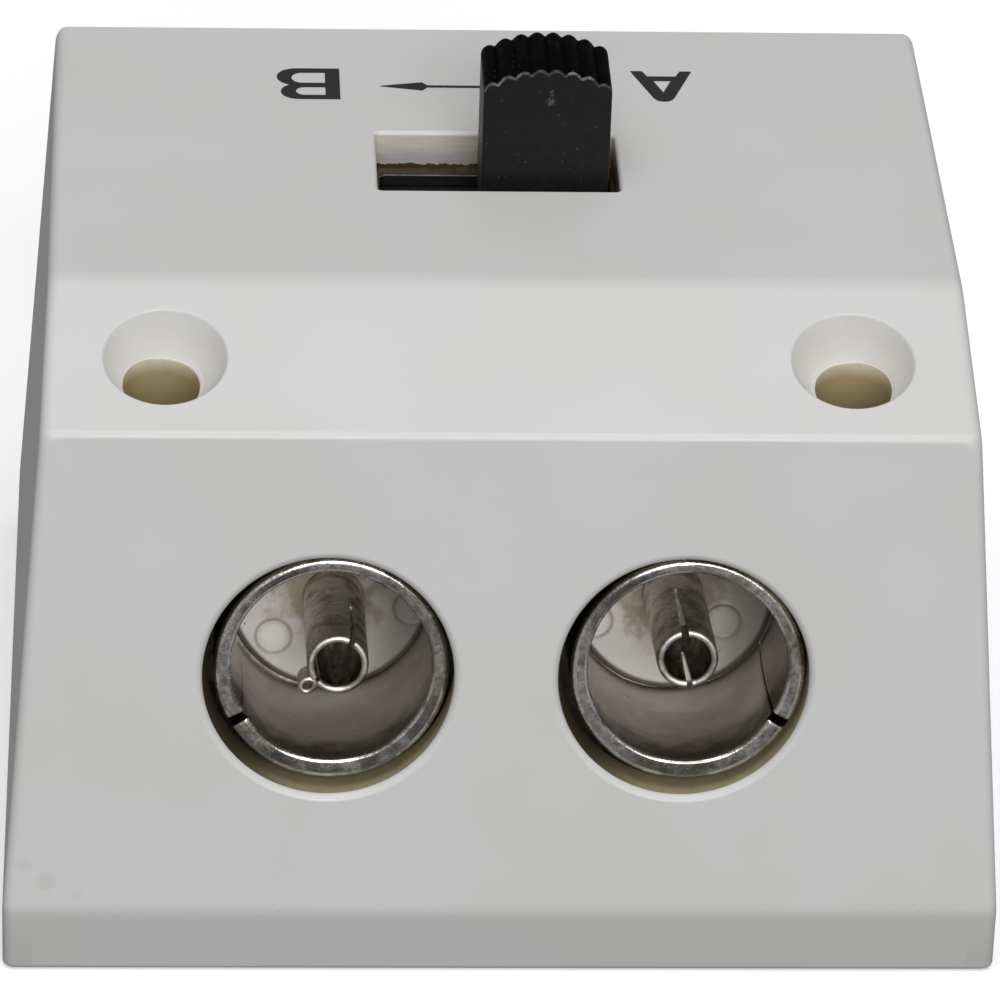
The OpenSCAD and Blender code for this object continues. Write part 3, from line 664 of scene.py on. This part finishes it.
def fixing_places():
    """The middle of each countersink's mouth, on the screw face."""
    y, z = FOLD_Y + FIXING_RISE * cos(TILT), FOLD_H + FIXING_RISE * sin(TILT)
    return [Vector((side * FIXING_PITCH / 2, y, z)) for side in (-1, 1)]


CONE_DEPTH, CONE_FOOT_R = 1.8, 1.99     # how deep a countersink's cone goes, and its radius there
SINK_SHIFT, SINK_EDGE_R = 0.17, 0.16    # a countersink stands this much nearer the box's middle than its hole
LIP_LEAST, LIP_MORE, LIP_TURN = 0.03, 0.17, 60   # the lip's width, what it gains, and towards which angle


def sink_rim():
    """A countersink's rounded edge: (radius, height) points from outside it to the top of its cone."""
    turn = math.pi / 2 - math.atan((SINK_R - CONE_FOOT_R) / CONE_DEPTH)
    edge = SINK_R + SINK_EDGE_R * tan(turn / 2)
    rim = [(edge + 0.02, 2)]
    for i in range(6):
        t = turn * i / 5
        rim.append((edge - SINK_EDGE_R * sin(t), SINK_EDGE_R * (cos(t) - 1) + HAIR))
    return rim


def hole_lip(place, mouth, angle):
    """The soft lip between a countersink's cone and the upright hole, and the hole's lower end, at an
    angle round the hole. The lip is widest towards the box's middle and the rear."""
    towards = -1 if place.x > 0 else 1
    hole_y = place.y + HOLE_BACK
    lip = LIP_LEAST + LIP_MORE * max(0.0, cos(angle - rad(90 - towards * LIP_TURN)))
    points = []
    for t in QUARTER:
        r = FIXING_R + lip * (1 - sin(t))
        x, y = place.x + r * cos(angle), hole_y + r * sin(angle)
        ledge = mouth.z + (y - mouth.y) * tan(TILT) - CONE_DEPTH / cos(TILT)
        ledge -= 0.075 * max(0.0, y - hole_y) ** 2
        points.append(Vector((x, y, ledge - lip * (1 - cos(t)))))
    points.append(Vector((place.x + FIXING_R * cos(angle), hole_y + FIXING_R * sin(angle), -1)))
    return points


def fixing_cutter(place, segments=96):
    """A countersink square to the screw face, the upright hole under it and the lip between them."""
    towards = -1 if place.x > 0 else 1
    mouth = place + Vector((towards * SINK_SHIFT, 0, 0))
    matrix = Matrix.Translation(mouth) @ Matrix.Rotation(TILT, 4, "X")
    rim = sink_rim()
    rows = []
    for j in range(segments):
        a = 2 * math.pi * j / segments
        row = [matrix @ Vector((r * cos(a), r * sin(a), z)) for r, z in rim]
        lip = hole_lip(place, mouth, a)
        rows.append(row + [row[-1].lerp(lip[0], 0.93)] + lip)
    return capped("fixing", list(zip(*rows)))


def slot_cutter():
    """The slot in the top, with rounded corners and a rounded edge."""
    edge, corner = 0.22, 0.25
    levels = [(BODY_H - edge + edge * sin(t) + HAIR, edge * (1 - cos(t))) for t in QUARTER]
    levels = [(BODY_H - WALL - 1, 0)] + levels + [(BODY_H + 1, edge + 0.01)]
    rings = []
    for z, grow in levels:
        r, ring = corner + grow, []
        for cx, cy, start in ((1, 1, 0), (-1, 1, 90), (-1, -1, 180), (1, -1, 270)):
            centre = (cx * (SLOT_W / 2 - corner), SWITCH_Y + cy * (SLOT_D / 2 - corner))
            ring += [(x, y, z) for x, y in arc(centre, r, start, start + 90, 6)]
        rings.append(ring)
    return capped("slot", rings)


def guide_tube(place):
    """The solid round a fixing hole inside the box, ending under the screw face."""
    top, centre_y = place.z - 0.9, place.y + HOLE_BACK

    def place_point(a, r, z):
        y = centre_y + r * sin(a)
        slope = (y - place.y) * tan(TILT) if z > GUIDE_Z + 1 else 0
        return Vector((place.x + r * cos(a), y, z + slope))
    outline = [(0, GUIDE_Z), (GUIDE_R, GUIDE_Z), (GUIDE_R, top), (0, top)]
    return turned("guide", outline, 64, None, place_point)


def post(x, y, low, high, radius):
    """An upright round bar, for joining or cutting."""
    outline = [(0, low), (radius, low), (radius, high), (0, high)]
    return turned("post", outline, 48, Matrix.Translation((x, y, 0)))


def in_hole(centre, places):
    """Whether a point is on the wall of a fixing hole."""
    return any((centre - p).xy.length < FIXING_R + NEAR and centre.z < p.z for p in places)


def in_sink(centre, place):
    """Whether a point is on a countersink's cone, below its edge."""
    normal = Vector((0, -sin(TILT), cos(TILT)))
    away = centre - place
    depth = -away.dot(normal)
    return 0.06 < depth < CONE_DEPTH + 0.4 and (away + depth * normal).length < SINK_R + 0.2


def in_slot(centre):
    """Whether a point is on the slot's walls, below their rounded edge."""
    across, along = abs(centre.x), abs(centre.y - SWITCH_Y)
    level = BODY_H - WALL - NEAR < centre.z < BODY_H - 0.2
    return level and across < SLOT_W / 2 + NEAR and along < SLOT_D / 2 + NEAR


def mark_faces(cover, sockets, places):
    """Gives the walls of the mouths, fixing holes, slot and countersinks their own materials."""
    sinks = fixing_places()
    for face in cover.data.polygons:
        centre = face.center
        axial = [(m.inverted() @ centre, m.col[2].to_3d()) for m in sockets]
        if any(p.xy.length < MOUTH_R + 0.5 and -0.3 < p.z < 3 and abs(face.normal.dot(n)) < 0.3
               for p, n in axial):
            face.material_index = 1
        elif in_hole(centre, places):
            face.material_index = 2
        elif any(in_sink(centre, place) for place in sinks):
            face.material_index = 4
        elif in_slot(centre):
            face.material_index = 3


def make_cover(sockets):
    """The cover: a hollow box with inner posts, cut by the mouths, slot, countersinks and screw holes."""
    cover = rounded_box()
    boolean(cover, bm_object("cavity", convex_solid(cover_planes(WALL, -1))), "DIFFERENCE")
    sinks = fixing_places()
    bosses = [(x, y) for x in (-BOSS_X, BOSS_X) for y in BOSS_YS]
    under_top = BODY_H - WALL
    posts = [guide_tube(p) for p in sinks]
    posts += [post(x, y, BASE_T, BOSS_TOP, BOSS_R) for x, y in bosses]
    posts += [post(x, SWITCH_Y, under_top - PEG_LENGTH, under_top + 0.4, PEG_R) for x in (-PEG_X, PEG_X)]
    boolean(cover, joined(posts), "UNION")
    cutters = [mouth_cutter(matrix, *SOCKETS[k]["mouth"]) for k, matrix in sockets.items()]
    cutters += [slot_cutter()] + [fixing_cutter(p) for p in sinks]
    cutters += [post(x, y, -1, BOSS_HOLE_TOP, BOSS_HOLE_R) for x, y in bosses]
    boolean(cover, joined(cutters), "DIFFERENCE")
    hole_axes = [p + Vector((0, HOLE_BACK, 0)) for p in sinks]
    mark_faces(cover, sockets.values(), hole_axes)
    materials = [cover_material(), recess_material(), fixing_material(), slot_material(), sink_material()]
    return finish_piece(cover, "box", materials, "top_cover", 30, weighted=True)


# ---- the sockets ----
SOCKETS = {     # angles in degrees round a socket, and distances in millimetres
    "a": dict(slit=30, mouth=(-0.20, 0.22), marks=[(31, 2.76), (159, 3.85)], offset=(0, 0), lean=(0.1, 0.02),
              cuts=[(263, 0.40, 6.8), (84, 0.34, 5.4)], tab=None, aside=0),
    "b": dict(slit=150, mouth=(-0.26, 0.23), marks=[(139, 3.38), (12, 3.9)], offset=(0.2, 0.3),
              lean=(0.02, 0.06), cuts=[(299, 0.34, 5.6), (143, 0.26, 5.4)], tab=143, aside=-0.12),
    "out": dict(slit=90, mouth=(0, 0), marks=[(25, 3.0), (155, 3.0)], offset=(0, 0), lean=(0, 0),
                cuts=[(90, 0.3, 5.4), (270, 0.3, 5.4)], tab=None, aside=0),
}


def inset_outline(points, distance):
    """A closed outline moved inwards by distance; its points run anticlockwise or clockwise."""
    area = sum(p[0] * q[1] - q[0] * p[1] for p, q in zip(points, points[1:] + points[:1]))
    turn = 1 if area > 0 else -1
    made = []
    for i, p in enumerate(points):
        before, here, after = Vector(points[i - 1]), Vector(p), Vector(points[(i + 1) % len(points)])
        one, two = (here - before).normalized(), (after - here).normalized()
        n1, n2 = Vector((-one.y, one.x)) * turn, Vector((-two.y, two.x)) * turn
        step = distance * (n1 + n2) / max(1 + n1.dot(n2), 0.5)
        made.append((p[0] + step.x, p[1] + step.y))
    return made


LIP_IN, LIP_LEAN, LIP_LENGTH = 0.26, 0.11, 1.1     # a sleeve's rim, turned in, most at the bottom
RIM_IN_R, RIM_OUT_R = 0.15, 0.26
SEAM_GAP, SEAM_BEND, SEAM_REACH = 0.09, 0.36, 0.5   # behind the rim a slit closes and its edges dip inwards


def sleeve_outline():
    """Half section of a sleeve: points (radius, distance behind the rim, share of the turned-in lip,
    finish of the stretch that follows: 0 for walls, 1 for the filed end, 2 for its polished edges)."""
    out, rear = SLEEVE_R + SLEEVE_T, PLATE_A
    points = [(SLEEVE_R, z, 0, 0) for z in (rear, 9.5, 8.6, 7.4, 6.2, 5.0, 3.9, 2.9, 2.1, 1.5, LIP_LENGTH)]
    for i in range(1, 5):
        share = (1 - cos(math.pi * i / 5)) / 2
        points.append((SLEEVE_R, LIP_LENGTH + (RIM_IN_R - LIP_LENGTH) * i / 5, share, 0))
    points += [(r, z, 1, 2) for r, z in arc((SLEEVE_R + RIM_IN_R, RIM_IN_R), RIM_IN_R, 180, 255, 4)]
    points.append((SLEEVE_R + RIM_IN_R, 0, 1, 1))
    points += [(r, z, 0, 2) for r, z in arc((out - RIM_OUT_R, RIM_OUT_R), RIM_OUT_R, 270, 345, 5)]
    levels = (RIM_OUT_R, 1.3, 4.0, rear - FLANGE_T)
    points += [(out, z, 0, 0) for z in levels] + [(FLANGE_R, rear - FLANGE_T, 0, 0), (FLANGE_R, rear, 0, 0)]
    return points


def sleeve_point(r, z, angle, slit, half):
    """Where a point of the rolled sleeve lies, with the slit closed behind the rim and its edges dipping."""
    round_from = (angle - slit) % (2 * math.pi)
    near = min(round_from, 2 * math.pi - round_from)
    side = 1 if round_from < math.pi else -1
    behind = min(1.0, max(0.0, (z - 0.2) / 1.1))
    closing = (half - SEAM_GAP / 2 / SLEEVE_R) * behind * max(0.0, 1 - (near - half) / SEAM_REACH)
    if r < SLEEVE_R + SLEEVE_T / 2:
        along = min(1.0, max(0.0, z / 9.5))
        r -= SEAM_BEND * math.sqrt(4 * along * (1 - along)) * max(0.0, 1 - near / SEAM_REACH) ** 2
    r += 0.012 * sin(3 * angle + 1) + 0.008 * sin(7 * angle)
    z += 0.02 * sin(4 * angle) if z < 1 else 0
    return r * cos(angle - side * closing), r * sin(angle - side * closing), z


SLIT_GAP, SLIT_EDGE_R = 0.40, 0.09      # a sleeve's slit at its rim, and the rounding of its edges


def make_sleeve(k, matrix, material):
    """A rolled sleeve that stands open by a slit, with a rounded, turned-in, slightly wavy rim."""
    outline = sleeve_outline()
    slit, half, soft = rad(SOCKETS[k]["slit"]), SLIT_GAP / 2 / SLEEVE_R, SLIT_EDGE_R
    start, end = slit + half, slit + 2 * math.pi - half
    turns = [rad(a) for a in (0, 30, 60, 90)]
    rings = [(start + soft * (1 - cos(t)) / SLEEVE_R, soft * (1 - sin(t))) for t in turns]
    rings += [(start + (end - start) * i / 160, 0) for i in range(1, 160)]
    rings += [(end - soft * (1 - cos(t)) / SLEEVE_R, soft * (1 - sin(t))) for t in reversed(turns)]
    made = []
    for angle, inset in rings:
        lip = LIP_IN + LIP_LEAN * sin(angle)
        points = [(r - lip * share, z) for r, z, share, _ in outline]
        points = inset_outline(points, inset) if inset else points
        made.append([sleeve_point(r, z, angle, slit, half) for r, z in points])
    sleeve = capped(f"sleeve_{k}_rolled", made, [finish for *_, finish in outline])
    sleeve.data.transform(Matrix.Translation((SOCKETS[k]["aside"], 0, 0)) @ matrix)
    return finish_piece(sleeve, "box", material, f"sleeve_{k}", 40)


def mark_height(x, y, marks):
    """Height of an insulator's face: shallow round moulded marks, each with a faint raised rim."""
    height = 0
    for angle, away in marks:
        d = math.hypot(x - away * cos(rad(angle)), y - away * sin(rad(angle)))
        height += 0.07 / (1 + math.exp((d - 0.76) * 30)) - 0.05 * math.exp(-((d - 0.88) / 0.07) ** 2)
    return height + 0.02 * sin(1.3 * x + 0.6) * sin(1.7 * y)


def make_insulator(k, matrix):
    """The plastic disc that carries the contact, with its rear collar. Its hole stands off by offset."""
    marks, offset = SOCKETS[k]["marks"], SOCKETS[k]["offset"]
    hole, out = CONTACT_R + 0.02, SLEEVE_R - 0.03
    rear = PLATE_A + 0.5
    face = [(hole + (out - 0.1 - hole) * i / 42, INSULATOR_A) for i in range(43)]
    outline = face + [(out, INSULATOR_A + 0.1), (out, PLATE_A), (3.98, PLATE_A), (3.98, rear - 0.01),
                      (3.6, rear), (3.4, rear + 0.8), (hole, rear + 0.8)]

    def place_point(a, r, z):
        share = max(0.0, 1 - (r - hole) / 1.6)
        x, y = r * cos(a) + share * offset[0], r * sin(a) + share * offset[1]
        return Vector((x, y, z + (mark_height(x, y, marks) if z == INSULATOR_A else 0)))
    disc = turned(f"insulator_{k}_disc", outline, 200, matrix, place_point)
    material = insulator_material(f"insulator_{k}_milky", matrix, marks)
    return finish_piece(disc, "box", material, f"insulator_{k}", 40)


def contact_outline():
    """Half section of a contact: sprung-in rolled tip, tube, closed middle, rear flange and solder tail."""
    rear = PLATE_A + 1.3
    tip = arc((CONTACT_R - 0.175, TIP_A + 0.17), 0.17, 180, 360, 8)
    inside = [(0, 8.6), (CONTACT_BORE - 0.02, 8.6), (CONTACT_BORE - 0.02, 5.2), (1.14, 3.6), (1.09, 2.4)]
    outside = [(CONTACT_R, 3.0), (CONTACT_R, rear), (2, rear), (2, rear + 0.3), (0.8, rear + 0.3),
               (0.8, TAIL_A), (0.42, TAIL_A), (0.42, TAIL_A - 1.2), (0, TAIL_A - 1.2)]
    return inside + tip + outside


SLIT_TAPER = 0.35       # how far a contact's slit closes at its end, as a share of its gap


def slit_cutter(angle, gap, depth):
    """A cut through one side of a contact, from its tip to depth, that closes to SLIT_TAPER of its gap."""
    cutter = block("slit", (0.3, -gap / 2, 0), (3, gap / 2, depth))
    for v in cutter.data.vertices:
        v.co.y *= 1 if v.co.z < 1 else SLIT_TAPER
    cutter.data.transform(Matrix.Rotation(rad(angle), 4, "Z"))
    return cutter


def curled_tab(angle):
    """A sliver of the tube curled outwards beside a slit, as a small open roll."""
    end, away, flattened = 2.9, CONTACT_R + 0.30, Matrix.Scale(1.25, 4, (1, 0, 0))
    outline = [(0.20, TIP_A + 0.14), (0.27, TIP_A + 0.06), (0.36, TIP_A + 0.12), (0.38, end), (0.18, end)]
    roll = turned("curl", outline, 28)
    turn = Matrix.Rotation(rad(angle), 4, "Z")
    roll.data.transform(turn @ Matrix.Translation((away, 0, 0)) @ flattened)
    return roll


def make_contact(k, matrix, material):
    """A split tubular contact. Its cuts have an angle, a gap and a depth. It stands off the socket's
    axis by offset, and its tip by lean more. tab is the angle of a curled sliver, where it has one."""
    socket = SOCKETS[k]
    (off_x, off_y), (lean_x, lean_y) = socket["offset"], socket["lean"]
    contact = turned(f"contact_{k}_split_tube", contact_outline(), 64)
    for angle, gap, depth in socket["cuts"]:
        boolean(contact, slit_cutter(angle, gap, depth), "DIFFERENCE")
    if socket["tab"] is not None:
        boolean(contact, curled_tab(socket["tab"]), "UNION")
    for face in contact.data.polygons:
        inward = face.normal.xy.dot(face.center.xy) < -0.1 and face.center.xy.length < CONTACT_BORE + 0.02
        face.material_index = int(inward and face.center.z > TIP_A + 0.4)
    for v in contact.data.vertices:
        share = max(0.0, (INSULATOR_A - v.co.z) / (INSULATOR_A - TIP_A)) ** 1.3
        v.co.x += off_x + lean_x * share
        v.co.y += off_y + lean_y * share
    contact.data.transform(matrix)
    return finish_piece(contact, "box", material, f"contact_{k}", 35)


def socket_matrix(mount):
    """From a socket's own axes (across, down, inwards, from the rim) to the frame, in millimetres."""
    outward = Vector(mount["axis"]).normalized()
    across = Vector((1 if outward.y < 0 else -1, 0, 0))
    down = (-outward).cross(across)
    matrix = Matrix((across, down, -outward)).transposed().to_4x4()
    matrix.translation = Vector(mount["pos_m"]) / MM + outward * MOUNT_A
    return matrix


def make_sockets():
    """Sleeve, insulator and contact of each socket. Returns the sockets' matrices."""
    mounts = {m["name"]: m for m in frame["record"]["mounts"]}
    matrices = {k: socket_matrix(mounts[f"socket_{k}_contact"]) for k in SOCKETS}
    contact = [nickel_material("contact_metal", (0.82, 0.79, 0.72), (0.36, 0.32, 0.255), 0.34, 0.7),
               contact_bore_material()]
    for k, matrix in matrices.items():
        make_sleeve(k, matrix, [sleeve_wall(f"nickel_wall_{k}", matrix), sleeve_end(), sleeve_edge()])
        make_insulator(k, matrix)
        make_contact(k, matrix, contact)
    return matrices


# ---- the knob ----
KNOB_CORNER_R, KNOB_EDGE_R = 0.22, 0.13     # the crown's two ends, and the front and rear edges
PLATE_TOP, PLATE_EDGE_R = 26.34, 0.25       # the black plate that slides under the slot
SPRING_HOLE_R = 0.8                         # a bore from front to rear for the detent spring


def ridge_z(x):
    """Height of the knob's ridged crown, in millimetres, at a distance from its middle."""
    half = KNOB_W / 2
    radius = (half ** 2 + KNOB_CROWN ** 2) / (2 * KNOB_CROWN)
    crown = BODY_H + KNOB_RISE - radius + math.sqrt(radius ** 2 - x * x)
    past = max(0.0, abs(x) - (half - KNOB_CORNER_R))
    drop = KNOB_CORNER_R - math.sqrt(max(0.0, KNOB_CORNER_R ** 2 - past ** 2))
    last = abs(x) > (RIDGES - 1) / 2 * RIDGE_PITCH
    valley = 0 if last else 1 - abs(sin(math.pi * x / RIDGE_PITCH))
    return crown - drop - RIDGE_DEPTH * valley


def knob_stem(low):
    """The finger piece: the ridged outline drawn from front to back, with rounded ends."""
    steps, soft = 14 * RIDGES, KNOB_EDGE_R
    xs = [KNOB_W / 2 - KNOB_W * i / steps for i in range(steps + 1)]
    outline = [(-KNOB_W / 2, low), (KNOB_W / 2, low)] + [(x, ridge_z(x)) for x in xs]
    turns = [rad(a) for a in (0, 22, 45, 68, 90)]
    ends = [(KNOB_D / 2 - soft * (1 - cos(t)), soft * (1 - sin(t))) for t in turns]
    rings = [(-y, inset) for y, inset in ends] + [(y, inset) for y, inset in reversed(ends)]
    made = []
    for y, inset in rings:
        points = inset_outline(outline, inset) if inset > 1e-6 else outline
        made.append([(REST_X + x, SWITCH_Y + y, z) for x, z in points])
    return capped("slide_knob", made)


def make_knob():
    """Knob and slider plate, one moulding, replacing the CAD one."""
    low, high = (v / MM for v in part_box("slider_knob"))
    knob = knob_stem(low.z + 1)
    plate = block("plate", (low.x, low.y, low.z), (high.x, high.y, PLATE_TOP))
    soften(plate, PLATE_EDGE_R)
    boolean(knob, plate, "UNION")
    middle = (low.z + PLATE_TOP) / 2
    hole = post(0, 0, -8, 8, SPRING_HOLE_R)
    hole.data.transform(Matrix.Translation((REST_X, SWITCH_Y, middle)) @ Matrix.Rotation(rad(90), 4, "X"))
    boolean(knob, hole, "DIFFERENCE")
    for face in knob.data.polygons:
        on_crown = face.center.z > BODY_H + 3 and face.normal.z > 0.15
        if on_crown and 0.15 < abs(face.normal.y) < 0.97:
            face.material_index = 1
        elif on_crown and abs(face.normal.y) < 0.15:
            face.material_index = 2
        elif abs(face.normal.x) > 0.9 and face.center.z > BODY_H - 1:
            face.material_index = 3
    # painted shade: the ridges' copy is darker and duller on the crown's tops; the ends' copy is lighter,
    # partly dust and partly painted light
    finishes = [knob_material("knob_black", 0.0085, 0.2, 0.35), knob_edge_material(),
                knob_material("knob_ridges", 0.0016, 0.02, 0.3), knob_material("knob_sides_dust_and_painted_light", 0.02, 0.6, 0.9)]
    return finish_piece(knob, "slider", finishes, "slider_knob", 42)


def soften(obj, width):
    """Rounds a plain block's edges."""
    modifier = obj.modifiers.new("soften", "BEVEL")
    modifier.width = width
    modifier.segments = 4
    apply_modifiers(obj)


# ---- CAD nodes that keep their shape ----
def paint_nodes():
    """Materials for the printed marks, the base and the pieces inside."""
    tin = plain_metal("tinplate", (0.56, 0.545, 0.50), 0.32, (1, 0.2, 1))
    brass = plain_metal("brass", (0.60, 0.45, 0.20), 0.3)
    zinc = plain_metal("zinc_steel", (0.58, 0.58, 0.60), 0.28)
    copper = plain_metal("tinned_copper", (0.62, 0.59, 0.54), 0.35)
    # the switch frame's dark sheet gets painted shade below a height just under the top wall, and a painted
    # highlight line above it
    strip = plain_metal("tinplate_dark_painted_shade", (0.15, 0.115, 0.065), 0.36, (1, 0.2, 1), BODY_H - WALL - 0.09)
    groups = {tin: ("front_frame", "rear_frame"), strip: ("switch_frame",),
              brass: ("frame_rivets", "switch_terminals", "bridge_contacts"),
              zinc: ("base_screws", "detent_spring", "detent_balls"),
              copper: ("earth_wire", "wire_a", "wire_b", "wire_out"),
              base_material(): ("base_plate",), board_material(): ("terminal_board",),
              ink_material(): ("mark_a", "mark_b", "mark_arrow")}
    for material, nodes in groups.items():
        for node in nodes:
            materials = frame["nodes"][node].data.materials
            materials.clear()
            materials.append(material)


# ---- studio ----
FLOOR_GLOW, FLOOR_SIZE = 0.26, 3
FLOOR_GAP = 0.00002     # metres: keeps the floor from lying in the base plate's own plane
SURROUND = 0.25
LIGHTS = (
    ("overhead", (0.0, -0.15, 0.9), (0, 0, 0.02), (0.8, 0.8), 4.1),
    ("front", (0.1, -0.9, 0.55), (0, 0, 0.02), (0.7, 0.5), 6.25),
)


def add_camera():
    """The camera looks at the middle of the crisp fold with a long lens. focal is in sensor widths."""
    elevation, yaw, roll = rad(29.96), rad(3.41), rad(2.03)
    distance, focal = 0.30336, 6.8577
    forward = Vector((sin(yaw) * cos(elevation), cos(yaw) * cos(elevation), -sin(elevation)))
    level = Vector((cos(yaw), -sin(yaw), 0))
    above = level.cross(forward)
    right = level * cos(roll) + above * sin(roll)
    up = above * cos(roll) - level * sin(roll)
    data = bpy.data.cameras.new("camera")
    data.sensor_width = 36
    data.lens = focal * data.sensor_width
    data.shift_x, data.shift_y = -0.0129, -0.0636
    data.clip_start, data.clip_end = 0.02, 20
    camera = bpy.data.objects.new("camera", data)
    matrix = Matrix((right, up, -forward)).transposed().to_4x4()
    matrix.translation = Vector((0, FOLD_Y, FOLD_H)) * MM - forward * distance
    camera.matrix_world = matrix
    bpy.context.scene.collection.objects.link(camera)
    bpy.context.scene.camera = camera


def soft_light(name, place, target, size, power):
    """A round or oval area light that faces a target, in metres and watts."""
    data = bpy.data.lights.new(name, "AREA")
    data.shape = "ELLIPSE"
    data.size, data.size_y = size
    data.energy = power
    light = bpy.data.objects.new(name, data)
    light.location = place
    light.rotation_euler = (Vector(target) - Vector(place)).to_track_quat("-Z", "Y").to_euler()
    bpy.context.scene.collection.objects.link(light)


def make_studio():
    """A plain white floor, a broad light overhead, a softer one in front, and an even surround."""
    bm = bmesh.new()
    bmesh.ops.create_grid(bm, x_segments=4, y_segments=4, size=FLOOR_SIZE)
    bmesh.ops.translate(bm, verts=bm.verts, vec=(0, 0, -FLOOR_GAP))
    floor = bm_object("floor", bm)
    s = Shader("floor_white")
    tone = s.mix(s.noise(0.01, 2), (0.90, 0.90, 0.90), (0.92, 0.92, 0.92))
    material = s.surface(tone, 0.9, Specular_IOR_Level=0.1, Emission_Color=(1, 1, 1, 1),
                         Emission_Strength=FLOOR_GLOW)
    floor.data.materials.append(material)
    floor.visible_diffuse = False
    floor.visible_glossy = False
    for light in LIGHTS:
        soft_light(*light)
    world = bpy.data.worlds.new("surround")
    world.use_nodes = True
    background = world.node_tree.nodes["Background"].inputs
    background["Color"].default_value = (0.97, 0.98, 1, 1)
    background["Strength"].default_value = SURROUND
    bpy.context.scene.world = world
    bpy.context.scene.view_settings.view_transform = "Standard"


add_camera()
make_cover(make_sockets())
make_knob()
paint_nodes()
make_studio()
